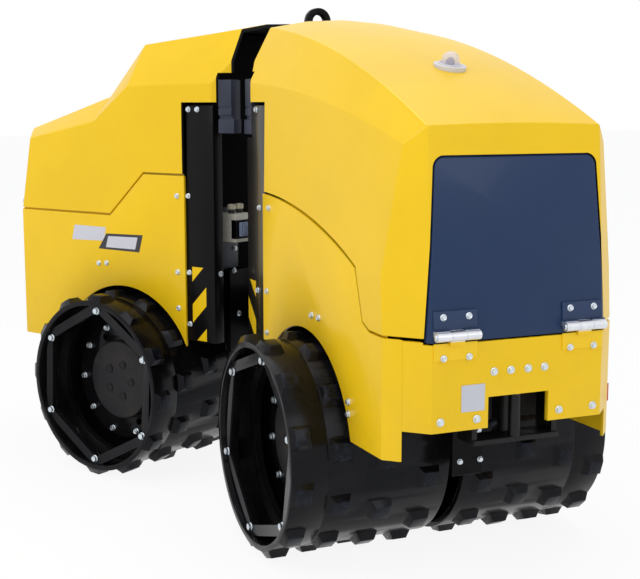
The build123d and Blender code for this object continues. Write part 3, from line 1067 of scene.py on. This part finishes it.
# The finish of each slot of the record, and of the nodes that have one of their own.
SLOTS = {"yellow_paint": "yellow", "black_paint": "black", "cover_paint": "cover", "drum_paint": "front_drum",
         "zinc_plate": "zinc", "chrome_rod": "chrome", "dome_plastic": "dome", "engine_metal": "engine"}
OWN_FINISH = {"front_bumper": "front_plate", "rear_bumper": "rear_plate", "front_hinge_mounts": "front_hinge",
              "rear_hinge_mounts": "rear_hinge", "front_hood_leaves": "front_hinge", "rear_hood_leaves": "rear_hinge",
              "front_joint_cheeks": "front_cheek", "rear_joint_cheeks": "rear_cheek", "valve_block": "valve",
              "front_chassis": "frame", "rear_chassis": "frame",
              "front_latch_posts": "buffer", "rear_latch_posts": "buffer"}


def finish_of(part: dict) -> str:
    """Choose the finish for a part of the record.

    Args:
        part: the part's entry.

    Returns:
        The finish's name.
    """
    node = part["node"]
    if node in OWN_FINISH:
        return OWN_FINISH[node]
    if node.endswith("_hub_cover"):
        return "hub"
    if node.endswith(("_drum", "_drum_ring")):
        return node.split("_")[0] + "_drum"
    return SLOTS[part["material_slot"]]


@dataclass(frozen=True)
class Dresser:
    """Gives the carried-over pieces soft edges and their finish.

    Attributes:
        finishes: materials by finish name.
        edges: width, faces across and least angle of the rounding, by node name.
    """

    finishes: dict[str, bpy.types.Material]
    edges: dict[str, tuple[float, int, float]]

    def dress(self, node: str, finish: str) -> None:
        """Give a node its finish, and its soft edges where it has them.

        Args:
            node: the node's name.
            finish: the finish's name.
        """
        if node in self.edges:
            self.soften(node, finish, *self.edges[node])
        else:
            coat(frame["nodes"][node], self.finishes[finish])

    def soften(self, node: str, finish: str, width: float, segments: int, angle: float) -> None:
        """Make a piece with rounded edges that stands for a node.

        Args:
            node: the node's name.
            finish: the finish's name.
            width: width of the rounding.
            segments: faces across it.
            angle: edges sharper than this many degrees are rounded.
        """
        obj = merged_copy(node)
        round_edges(obj, width, segments, angle)
        coat(obj, self.finishes[finish])
        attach(obj, body_of(node))
        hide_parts(node)


@dataclass(frozen=True)
class HoodShell:
    """Hood with soft creases along its faces and a fine rounding along its rims.

    Attributes:
        place: the module that carries it.
        crease: width of the rounding along a crease.
        rim: width of the rounding along a rim.
        least: edges of outer faces that turn by more than this many degrees are creases.
        steep: other edges that turn by more than this many degrees are rims.
        small: a crease has a face larger than this on each side, in square millimetres.
    """

    place: Place
    crease: float = 3.0
    rim: float = 1.0
    least: float = 7.0
    steep: float = 62.0
    small: float = 20.0

    @property
    def node(self) -> str:
        """Return the hood's node name."""
        return f"{self.place.name}_hood"

    def build(self, finishes: dict[str, bpy.types.Material]) -> bpy.types.Object:
        """Make the piece that stands for the hood's node, painted outside and lined inside.

        Args:
            finishes: materials by finish name.

        Returns:
            The softened hood.
        """
        obj = merged_copy(self.node)
        self.paint(obj, finishes)
        self.weigh(obj)
        bevel = obj.modifiers.new("creases", "BEVEL")
        bevel.width = self.crease * MM
        bevel.segments = 3
        bevel.limit_method = "WEIGHT"
        bevel.use_clamp_overlap = False
        bpy.ops.object.modifier_apply(modifier=bevel.name)
        bpy.ops.object.shade_smooth_by_angle(angle=math.radians(30))
        flat = obj.modifiers.new("flat faces", "WEIGHTED_NORMAL")
        flat.keep_sharp = True
        bpy.ops.object.modifier_apply(modifier=flat.name)
        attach(obj, body_of(self.node))
        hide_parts(self.node)
        return obj

    def paint(self, obj: bpy.types.Object, finishes: dict[str, bpy.types.Material]) -> None:
        """Paint the hood's outer faces, and line its inner faces and the rim of its mouth.

        Args:
            obj: the hood.
            finishes: materials by finish name.
        """
        coat(obj, finishes["yellow"])
        obj.data.materials.append(finishes["lining"])
        out, up = self.place.sizes.core
        middle = self.place.at(out, 0, up)
        joint_way = self.place.facing(Side.JOINT)
        for face in obj.data.polygons:
            inside = (face.center - middle).dot(face.normal) < 0
            face.material_index = int(inside or face.normal.dot(joint_way) > 0.9)

    def weigh(self, obj: bpy.types.Object) -> None:
        """Mark the hood's creases and rims for the bevel.

        Args:
            obj: the hood, painted and lined.
        """
        mesh = bmesh.new()
        mesh.from_mesh(obj.data)
        weight = mesh.edges.layers.float.get("bevel_weight_edge") or mesh.edges.layers.float.new("bevel_weight_edge")
        for edge in mesh.edges:
            angle = math.degrees(edge.calc_face_angle(0.0))
            lined = sum(face.material_index for face in edge.link_faces)
            wide = all(face.calc_area() > self.small * MM * MM for face in edge.link_faces)
            if angle > self.least and wide and not lined:
                edge[weight] = 1.0
            elif angle > self.steep and lined < 2:
                edge[weight] = self.rim / self.crease
        mesh.to_mesh(obj.data)
        mesh.free()


@dataclass(frozen=True)
class Drum:
    """Bolts and caps on one drum, placed by radius and angle about its axle."""

    place: Place
    seen: bool
    half_gap: float = 20
    rim_face: float = 377
    rim_radius: float = 216
    rim_first: float = 18
    flange_face: float = 276
    flange_radius: float = 157
    cover_face: float = 288
    cover_radius: float = 48
    rim_bolt: FlangeBolt = FlangeBolt(10.5, 15.0, 8.5)
    hub_bolt: FlangeBolt = FlangeBolt(9.5, 14.0, 8.0)

    @property
    def name(self) -> str:
        """Return the drum's node name."""
        return f"{self.place.name}_{'right' if self.seen else 'left'}_drum"

    def stand(self, radius: float, angle: float, along: float) -> Matrix:
        """Return the matrix that stands a piece on a face of the drum.

        Args:
            radius: distance from the axle.
            angle: angle about the axle in degrees, in the drum's own drawing.
            along: distance outward along the axle from the drum's inner edge.

        Returns:
            The placing matrix.
        """
        turned = math.radians(angle + self.place.sizes.turns[0])
        dx, dz = radius * math.cos(turned), radius * math.sin(turned)
        out, side = (-dx, 1) if self.seen else (dx, -1)
        spot = self.place.at(AXLE[0] + out, side * (self.half_gap + along), AXLE[1] - dz)
        return stood(spot, self.place.facing(Side.NEAR if self.seen else Side.FAR), spin=angle)

    def build(self, finishes: dict[str, bpy.types.Material]) -> None:
        """Make the rim's bolts, the hub flange's bolts and the caps on the hub cover.

        Args:
            finishes: materials by finish name.
        """
        _, flange_turn, cap_turn = self.place.sizes.turns
        rim = [self.stand(self.rim_radius, self.rim_first + 60 * step, self.rim_face) for step in range(6)]
        flange = [self.stand(self.flange_radius, flange_turn + 36 * step, self.flange_face) for step in range(10)]
        bolts = joined(f"{self.name}_bolts", [copies(self.rim_bolt.build(), "rim_bolts", rim),
                                              copies(self.hub_bolt.build(), "hub_bolts", flange)])
        coat(bolts, finishes["zinc"])
        caps = copies(CapPlug().build(), f"{self.name}_caps",
                      [self.stand(self.cover_radius, cap_turn + 72 * step, self.cover_face) for step in range(5)])
        coat(caps, finishes["hub"])
        for piece in (bolts, caps):
            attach(piece, body_of(self.name))


@dataclass(frozen=True)
class Receiver:
    """Receiver of the remote control: a flange with a milky dome round a dark core.

    Attributes:
        out: distance outward of its middle.
        lean: slope of the hood under it, in degrees.
        radius: radius of the flange.
        top: height of the flange, and of the dome's seat.
        dome: radius of the dome.
        raised: height of the dome's widest ring over its seat.
        foot: how deep the flange goes into the hood.
        sunk: how far the whole receiver is let into the hood.
        ledge: width of the flange's outer ring.
        step: rise of the inner ring over it.
        wall: width of the inner ring.
        recess: depth of the floor inside it.
    """

    out: float = 692
    lean: float = 15
    radius: float = 37
    top: float = 9
    dome: float = 20.5
    raised: float = 9
    foot: float = 6
    sunk: float = 3
    ledge: float = 9
    step: float = 3
    wall: float = 5
    recess: float = 2

    def build(self, place: Place, finishes: dict[str, bpy.types.Material]) -> None:
        """Make the receiver's pieces on the hood.

        Args:
            place: the module that carries it.
            finishes: materials by finish name.
        """
        spot, _ = Skin("front_hood").meet(place, Side.TOP, self.out, 0, 0)
        sunk = Matrix.Translation(spot + Vector((0, 0, -self.sunk * MM)))
        seat = sunk @ Matrix.Rotation(math.radians(self.lean), 4, "Y")
        flange = rod("receiver_seat", self.radius, self.top + self.foot, 64, (0, 0, -self.foot))
        pick_top(flange)
        bpy.ops.mesh.inset(thickness=self.ledge * MM)
        bpy.ops.mesh.extrude_region_move(TRANSFORM_OT_translate={"value": (0, 0, self.step * MM)})
        bpy.ops.mesh.inset(thickness=self.wall * MM)
        bpy.ops.mesh.extrude_region_move(TRANSFORM_OT_translate={"value": (0, 0, -self.recess * MM)})
        leave()
        round_edges(flange, 1.8, 3)
        lens = self.ball("receiver_lens", self.dome, 0)
        core = self.ball("receiver_core", self.dome * 0.5, -3)
        for piece, finish in ((flange, "flange"), (lens, "dome"), (core, "core")):
            piece.matrix_world = seat
            settle(piece)
            coat(piece, finishes[finish])
            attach(piece, body_of("front_hood"))
        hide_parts("receiver_dome")

    def ball(self, name: str, radius: float, lift: float) -> bpy.types.Object:
        """Make a dome that goes straight down from its widest ring to its seat.

        Args:
            name: the new object's name.
            radius: the dome's radius.
            lift: height of its centre over the usual one.

        Returns:
            The dome, cut flat at its seat.
        """
        middle = (self.top + self.raised + lift) * MM
        bpy.ops.object.select_all(action="DESELECT")
        bpy.ops.mesh.primitive_uv_sphere_add(segments=48, ring_count=24, radius=radius * MM,
                                             location=(0, 0, middle))
        obj = bpy.context.object
        obj.name = name
        settle(obj)
        for vertex in obj.data.vertices:
            if vertex.co.z < middle - 1e-6:
                reach = math.hypot(vertex.co.x, vertex.co.y)
                widen = radius * MM / reach if reach > radius * MM * 0.7 else 1.0
                vertex.co = (vertex.co.x * widen, vertex.co.y * widen, vertex.co.z)
        bpy.ops.object.mode_set(mode="EDIT")
        bpy.ops.mesh.select_all(action="SELECT")
        bpy.ops.mesh.bisect(plane_co=(0, 0, self.top * MM), plane_no=(0, 0, 1), use_fill=True, clear_inner=True)
        leave()
        bpy.ops.object.shade_smooth_by_angle(angle=math.radians(40))
        return obj


@dataclass(frozen=True)
class FlatPlate:
    """Thin flat piece drawn as an outline on one side of a module."""

    name: str
    node: str
    side: Side
    outline: Points
    thickness: float
    finish: str
    lip: float = 0.0
    gap: float = 0.05

    def build(self, place: Place, finishes: dict[str, bpy.types.Material]) -> bpy.types.Object:
        """Make the plate on its surface.

        Args:
            place: the module.
            finishes: materials by finish name.

        Returns:
            The plate.
        """
        if len(self.outline) != 4:
            raise ValueError("a flat plate has four corners")
        corners = []
        skin = Skin(self.node)
        for along, up in self.outline:
            across, out = (along, 0) if self.side is Side.END else (0, along)
            spot, normal = skin.meet(place, self.side, out, across, up)
            corners.append(spot + normal * (self.gap * MM))
        bpy.ops.object.select_all(action="DESELECT")
        bpy.ops.mesh.primitive_plane_add(size=1)
        obj = bpy.context.object
        obj.name = f"{place.name}_{self.name}"
        # A plane's corners come row by row, and the outline goes round.
        for vertex, index in zip(obj.data.vertices, (0, 1, 3, 2)):
            vertex.co = corners[index]
        obj.data.update()
        only(obj)
        bpy.ops.object.mode_set(mode="EDIT")
        bpy.ops.mesh.select_all(action="SELECT")
        if obj.data.polygons[0].normal.dot(place.facing(self.side)) < 0:
            bpy.ops.mesh.flip_normals()
        push = place.facing(self.side) * self.thickness * MM
        bpy.ops.mesh.extrude_region_move(TRANSFORM_OT_translate={"value": push})
        if self.lip:
            bpy.ops.mesh.inset(thickness=self.lip * MM)
            bpy.ops.transform.translate(value=-push * 0.4)
        bpy.ops.mesh.select_all(action="SELECT")
        bpy.ops.mesh.normals_make_consistent(inside=False)
        leave()
        round_edges(obj, min(0.3, self.thickness * 0.4), 1)
        coat(obj, finishes[self.finish])
        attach(obj, body_of(self.node))
        return obj


@dataclass(frozen=True)
class HingeCaps:
    """Round ends of the hinge pins and the bolts that hold the leaves."""

    leaf_bolts: tuple[float, float] = (122, 181)
    outer: float = 203
    inner: float = 103
    pin_out: float = 11
    above: float = 38
    below: float = 45
    bolt: FlangeBolt = FlangeBolt(7.5, 10.0, 5.5)

    def build(self, place: Place, finishes: dict[str, bpy.types.Material]) -> None:
        """Make the pins' ends and the leaves' bolts.

        Args:
            place: the module.
            finishes: materials by finish name.
        """
        matrices = []
        height = place.sizes.hinge
        for side in (-1, 1):
            for across, way in ((self.outer, side), (self.inner, -side)):
                spot = place.at(place.sizes.end + self.pin_out, side * across, height)
                matrices.append(stood(spot, place.facing(Side.NEAR) * way))
        ends = copies(self.pin_end(), f"{place.name}_hinge_pin_ends", matrices)
        coat(ends, finishes["zinc"])
        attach(ends, place.body)
        for name, nodes, up in (
                ("hood_leaf_bolts", (f"{place.name}_hood_leaves",), height + self.above),
                ("hinge_mount_bolts", (f"{place.name}_hinge_mounts", f"{place.name}_bumper"), height - self.below)):
            spots = tuple((0, side * across, up) for side in (-1, 1) for across in self.leaf_bolts)
            BoltSet(name, nodes, Side.END, spots, self.bolt).build(place, finishes["zinc"])

    def pin_end(self) -> bpy.types.Object:
        """Make the round end of a hinge pin, which stands on the origin along Z.

        Returns:
            The pin's end.
        """
        end = rod("pin_end", 6.5, 3.0, 28, (0, 0, -0.5))
        pick_top(end)
        bpy.ops.mesh.inset(thickness=1.6 * MM)
        bpy.ops.transform.translate(value=(0, 0, 0.9 * MM))
        leave()
        return round_edges(end, 0.5, 2)


@dataclass(frozen=True)
class SeamLip:
    """Painted lip of the side panel behind the seam under a hood."""

    face: float = 268.5
    drop: float = 16
    rise: float = 11
    wall: float = 2

    def build(self, place: Place, finishes: dict[str, bpy.types.Material]) -> None:
        """Make the lips of both sides.

        Args:
            place: the module.
            finishes: materials by finish name.
        """
        lips = []
        seam = place.sizes.seam
        for side in (-1, 1):
            bpy.ops.object.select_all(action="DESELECT")
            bpy.ops.mesh.primitive_plane_add(size=1)
            lip = bpy.context.object
            rows = [self.spot(place, point, side, lift) for lift in (-self.drop, self.rise) for point in seam[:2]]
            for vertex, corner in zip(lip.data.vertices, rows):
                vertex.co = corner
            for start, end in zip(seam[1:], seam[2:]):
                self.lengthen(lip, place, start, end, side)
            wall = lip.modifiers.new("wall", "SOLIDIFY")
            wall.thickness = self.wall * MM
            wall.offset = 0.0
            only(lip)
            bpy.ops.object.modifier_apply(modifier=wall.name)
            bpy.ops.object.mode_set(mode="EDIT")
            bpy.ops.mesh.select_all(action="SELECT")
            bpy.ops.mesh.normals_make_consistent(inside=False)
            leave()
            lips.append(round_edges(lip, 0.4, 1))
        piece = joined(f"{place.name}_seam_lips", lips)
        coat(piece, finishes["yellow"])
        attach(piece, place.body)

    def lengthen(self, lip: bpy.types.Object, place: Place, start: tuple[float, float],
                 end: tuple[float, float], side: int) -> None:
        """Extrude the lip's last edge to the next point of the seam.

        Args:
            lip: the lip, which ends at the start.
            place: the module.
            start: point of the seam where the lip ends.
            end: the seam's next point.
            side: 1 for the seen side and -1 for the other.
        """
        only(lip)
        low, high = (self.spot(place, start, side, lift) for lift in (-self.drop, self.rise))
        bpy.ops.object.mode_set(mode="EDIT")
        bpy.ops.mesh.select_mode(type="EDGE")
        bpy.ops.mesh.select_all(action="DESELECT")
        leave()
        for edge in lip.data.edges:
            ends = [lip.data.vertices[index].co for index in edge.vertices]
            edge.select = all(min((co - low).length, (co - high).length) < 1e-5 for co in ends)
            for index in edge.vertices:
                lip.data.vertices[index].select = lip.data.vertices[index].select or edge.select
        bpy.ops.object.mode_set(mode="EDIT")
        move = self.spot(place, end, side) - self.spot(place, start, side)
        bpy.ops.mesh.extrude_region_move(TRANSFORM_OT_translate={"value": move})
        leave()

    def spot(self, place: Place, point: tuple[float, float], side: int, lift: float = 0) -> Vector:
        """Return the lip's point over or under a point of the seam, in the frame."""
        return place.at(point[0], side * self.face, point[1] + lift)


@dataclass(frozen=True)
class Valve:
    """Fittings on the hydraulic valve block: a coil on its seat and the grips of the knobs."""

    face: float = 166
    edge: float = 185
    seat: tuple[float, float, float] = (61, 52, 2.2)
    seat_side: tuple[float, float, float] = (17, 52, 2.2)
    coil: tuple[float, float, float] = (42, 38, 12)
    coil_in: float = 33
    coil_up: float = 708
    grip: tuple[float, float] = (12, 13)
    grip_out: float = 198
    grip_up: float = 762
    grips: tuple[float, float] = (134, 166)

    def build(self, place: Place, finishes: dict[str, bpy.types.Material]) -> None:
        """Make the valve's fittings.

        Args:
            place: the module that carries the valve.
            finishes: materials by finish name.
        """
        inward = -place.facing(Side.END)
        seat = joined("valve_coil_seat", [
            self.stuck(round_edges(slab("seat", self.seat), 0.6, 1),
                       place.at(self.face, self.edge - 29, self.coil_up), inward),
            self.stuck(round_edges(slab("seat", self.seat_side), 0.6, 1),
                       place.at(self.face + 7, self.edge, self.coil_up), place.facing(Side.NEAR))])
        coil = slab("valve_coil", self.coil)
        pick_top(coil)
        bpy.ops.mesh.inset(thickness=5 * MM)
        bpy.ops.mesh.extrude_region_move(TRANSFORM_OT_translate={"value": (0, 0, 3 * MM)})
        leave()
        self.stuck(round_edges(coil, 1.4, 2), place.at(self.face, self.edge - self.coil_in, self.coil_up), inward)
        coat(seat, finishes["black"])
        coat(coil, finishes["coil"])
        grip = rod("grip", *self.grip, 28)
        pick_top(grip)
        bpy.ops.mesh.inset(thickness=3.5 * MM)
        bpy.ops.mesh.extrude_region_move(TRANSFORM_OT_translate={"value": (0, 0, 1.2 * MM)})
        leave()
        grips = copies(round_edges(grip, 1.2, 3), "valve_grips",
                       [Matrix.Translation(place.at(self.grip_out, across, self.grip_up)) for across in self.grips])
        coat(grips, finishes["grip"])
        for piece in (seat, coil, grips):
            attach(piece, place.body)

    def stuck(self, piece: bpy.types.Object, spot: Vector, facing: Vector) -> bpy.types.Object:
        """Stand a piece on a face of the block, let in a little, and return it."""
        piece.matrix_world = stood(spot - facing * 0.6 * MM, facing)
        return settle(piece)


@dataclass(frozen=True)
class Lamp:
    """Soft square lamp: where it hangs and what it is aimed at, its width in metres and its watts."""

    name: str
    at: tuple[float, float, float]
    aim: tuple[float, float, float]
    width: float
    watts: float

    def hang(self) -> None:
        """Add the lamp to the scene."""
        data = bpy.data.lights.new(self.name, "AREA")
        data.size = self.width
        data.energy = self.watts
        lamp = bpy.data.objects.new(self.name, data)
        bpy.context.scene.collection.objects.link(lamp)
        lamp.location = self.at
        lamp.rotation_mode = "QUATERNION"
        lamp.rotation_quaternion = (Vector(self.aim) - Vector(self.at)).to_track_quat("-Z", "Y")


@dataclass(frozen=True)
class Studio:
    """Camera, lights, backdrop and floor."""

    lens: float = 68.805
    sensor: float = 36.0
    azimuth: float = 66.542
    pitch: float = 8.5537
    camera_at: tuple[float, float, float] = (3.1156, -1.3658, 1.0463)
    sky: float = 0.74
    lamps: tuple[Lamp, ...] = (Lamp("key", (1.2, -3.6, 3.2), (0.0, 0.0, 0.6), 2.6, 52.0),
                               Lamp("end", (4.2, 0.6, 2.2), (0.6, 0.0, 0.7), 2.0, 22.0),
                               Lamp("top", (-0.4, 0.4, 4.2), (0.0, 0.0, 0.8), 2.4, 40.0))

    def build(self, origin: Vector) -> None:
        """Make the camera, the light and the floor.

        Args:
            origin: the foot of the steering axis in the frame.
        """
        data = bpy.data.cameras.new("camera")
        data.lens = self.lens
        data.sensor_width = self.sensor
        camera = bpy.data.objects.new("camera", data)
        bpy.context.scene.collection.objects.link(camera)
        azimuth, pitch = math.radians(self.azimuth), math.radians(self.pitch)
        ahead = Vector((-math.sin(azimuth) * math.cos(pitch), math.cos(azimuth) * math.cos(pitch),
                        -math.sin(pitch)))
        camera.location = Vector(self.camera_at) + origin
        camera.rotation_mode = "QUATERNION"
        camera.rotation_quaternion = ahead.to_track_quat("-Z", "Y")
        bpy.context.scene.camera = camera
        self.world()
        for lamp in self.lamps:
            lamp.hang()
        self.floor()

    def shown(self, nodes: bpy.types.Nodes, links: bpy.types.NodeLinks) -> bpy.types.NodeSocket:
        """Tell the rays that show the backdrop from the rays that light the object.

        Args:
            nodes: nodes of the world or material that asks.
            links: its links.

        Returns:
            A socket that is 1 for the rays that show the backdrop.
        """
        path = nodes.new("ShaderNodeLightPath")
        shown = path.outputs["Is Camera Ray"]
        for kind in ("Is Glossy Ray", "Is Transmission Ray"):
            either = nodes.new("ShaderNodeMath")
            either.operation = "MAXIMUM"
            links.new(shown, either.inputs[0])
            links.new(path.outputs[kind], either.inputs[1])
            shown = either.outputs[0]
        return shown

    def world(self) -> None:
        """Light the object softly from all round before a white backdrop."""
        world = bpy.data.worlds.new("studio")
        bpy.context.scene.world = world
        world.use_nodes = True
        tree = world.node_tree
        tree.nodes.clear()
        out = tree.nodes.new("ShaderNodeOutputWorld")
        mix = tree.nodes.new("ShaderNodeMixShader")
        seen = tree.nodes.new("ShaderNodeBackground")
        seen.inputs["Color"].default_value = (1, 1, 1, 1)
        glow = tree.nodes.new("ShaderNodeBackground")
        glow.inputs["Color"].default_value = (0.95, 0.97, 1.0, 1)
        glow.inputs["Strength"].default_value = self.sky
        tree.links.new(self.shown(tree.nodes, tree.links), mix.inputs[0])
        tree.links.new(glow.outputs[0], mix.inputs[1])
        tree.links.new(seen.outputs[0], mix.inputs[2])
        tree.links.new(mix.outputs[0], out.inputs["Surface"])

    def floor(self) -> None:
        """Lay a white floor that keeps the object's shadow."""
        bpy.ops.object.select_all(action="DESELECT")
        bpy.ops.mesh.primitive_plane_add(size=80.0, location=(0, 0, 0))
        floor = bpy.context.object
        floor.name = "floor"
        graph = Graph("floor")
        lit = graph.node("ShaderNodeBsdfDiffuse", {}, {"Color": (0.97, 0.97, 0.97, 1.0)})
        shown = graph.node("ShaderNodeEmission", {}, {"Color": (1, 1, 1, 1), "Strength": 1.0})
        share = Signal(graph, self.shown(graph.nodes, graph.links)) * 0.9
        graph.node_output(graph.node("ShaderNodeMixShader", {}, {0: share, 1: lit, 2: shown}))
        coat(floor, graph.material)


# --- The roller ----------------------------------------------------------------------------

PLATE_BOLTS = tuple((0, side * across, up) for side in (-1, 1)
                    for across, up in ((21, 507), (61, 507), (185, 412), (100, 411)))
SCRAPER_BOLTS = ((0, 20, 256), (0, -32, 256), (0, -27, 325), (0, 21, 326))
VALVE_PLATE_BOLTS = ((0, 119, 646), (0, 133, 585), (0, 114, 460))
SIDE_BOLT = FlangeBolt(8.0, 11.0, 5.5)
PLATES = (
    ("front", FlatPlate("blank_plate", "front_bumper", Side.END, ((137, 428), (82, 428), (82, 484), (137, 484)),
                        1.2, "plate", 2.5)),
    ("front", FlatPlate("reflector", "front_side_panels", Side.FAR, ((925, 394), (885, 394), (885, 434), (925, 434)),
                        7.0, "reflector", 3.0)),
    ("rear", FlatPlate("light_decal", "rear_side_panels", Side.NEAR, ((727, 654), (589, 658), (582, 698), (715, 698)),
                       0.3, "decal")),
    ("rear", FlatPlate("dark_decal", "rear_side_panels", Side.NEAR, ((614, 634), (447, 634), (432, 684), (580, 680)),
                       0.4, "dark_decal")),
    ("rear", FlatPlate("dark_decal_field", "rear_side_panels", Side.NEAR,
                       ((583, 640), (463, 641), (452, 676), (572, 673)), 0.6, "decal")))


def sides(name: str, node: str, points: Points) -> list[BoltSet]:
    """Put the same bolts on the near and the far side.

    Args:
        name: the bolts' name.
        node: the piece that carries them.
        points: distance outward and height of each.

    Returns:
        One set for each side.
    """
    spots = tuple((out, 0, up) for out, up in points)
    return [BoltSet(f"{name}_{side.value}", (node,), side, spots, SIDE_BOLT) for side in (Side.NEAR, Side.FAR)]


def module_bolts(place: Place) -> list[BoltSet]:
    """List the bolts of one module.

    Args:
        place: the module.

    Returns:
        Its sets of bolts.
    """
    sets = sides("panel_bolts", f"{place.name}_side_panels", place.sizes.panel_bolts)
    sets += sides("cheek_bolts", f"{place.name}_joint_cheeks", place.sizes.cheek_bolts)
    sets.append(BoltSet("plate_bolts", (f"{place.name}_bumper",), Side.END, PLATE_BOLTS, FlangeBolt(8.8, 12.0, 6.2)))
    if place.name == "rear":
        sets.append(BoltSet("valve_plate_bolts", ("valve_block", "rear_trunnion_housing"), Side.JOINT,
                            VALVE_PLATE_BOLTS, SIDE_BOLT))
        sets.append(BoltSet("cheek_edge_bolts", ("rear_joint_cheeks",), Side.JOINT, ((0, 248, 592),), SIDE_BOLT))
    sets.append(BoltSet("scraper_bolts", (f"{place.name}_scrapers",), Side.END, SCRAPER_BOLTS,
                        FlangeBolt(7.0, 10.0, 6.0)))
    return sets


def edges() -> dict[str, tuple[float, int, float]]:
    """List the rounding of each softened node.

    Returns:
        Width, faces across and least angle in degrees, by node name.
    """
    made = {}
    for name in ("front", "rear"):
        made |= {f"{name}_side_panels": (1.6, 2, 30), f"{name}_bumper": (1.4, 2, 30),
                 f"{name}_joint_cheeks": (1.2, 2, 30), f"{name}_latch_posts": (2.0, 2, 30),
                 f"{name}_scrapers": (1.2, 1, 30)}
        for side in ("left", "right"):
            made[f"{name}_{side}_drum"] = (2.0, 2, 32)
            made[f"{name}_{side}_drum_ring"] = (2.0, 2, 32)
    made |= {"valve_block": (1.2, 2, 30), "front_yoke": (2.0, 2, 30), "lifting_eye": (2.0, 2, 30),
             "front_hood_cover": (1.2, 2, 30)}
    return made


def main() -> None:
    """Build the roller's looks in order and report each piece."""
    logging.basicConfig(level=logging.INFO, format="%(name)s: %(message)s")
    front, rear = places()
    Studio().build(front.origin)
    finishes = Finishes(front, rear).build()
    dresser = Dresser(finishes, edges())
    for part in frame["record"]["subparts"]:
        if part["node"] not in ("front_hood", "rear_hood"):
            dresser.dress(part["node"], finish_of(part))
            LOG.info("dressed %s", part["node"])
    for place in (front, rear):
        LOG.info("made %s", HoodShell(place).build(finishes).name)
    for place in (front, rear):
        for bolts in module_bolts(place):
            LOG.info("made %s", bolts.build(place, finishes["zinc"]).name)
        HingeCaps().build(place, finishes)
        for seen in (True, False):
            Drum(place, seen).build(finishes)
        LOG.info("made the hinge caps and drum bolts of the %s module", place.name)
    for place in (front, rear):
        SeamLip().build(place, finishes)
        LOG.info("made the seam lips of the %s module", place.name)
    Receiver().build(front, finishes)
    LOG.info("made the receiver")
    Valve().build(rear, finishes)
    LOG.info("made the valve's fittings")
    for name, plate in PLATES:
        LOG.info("made %s", plate.build(front if name == "front" else rear, finishes).name)
    bpy.context.scene.view_settings.view_transform = "Standard"


if __name__ == "__main__":
    main()
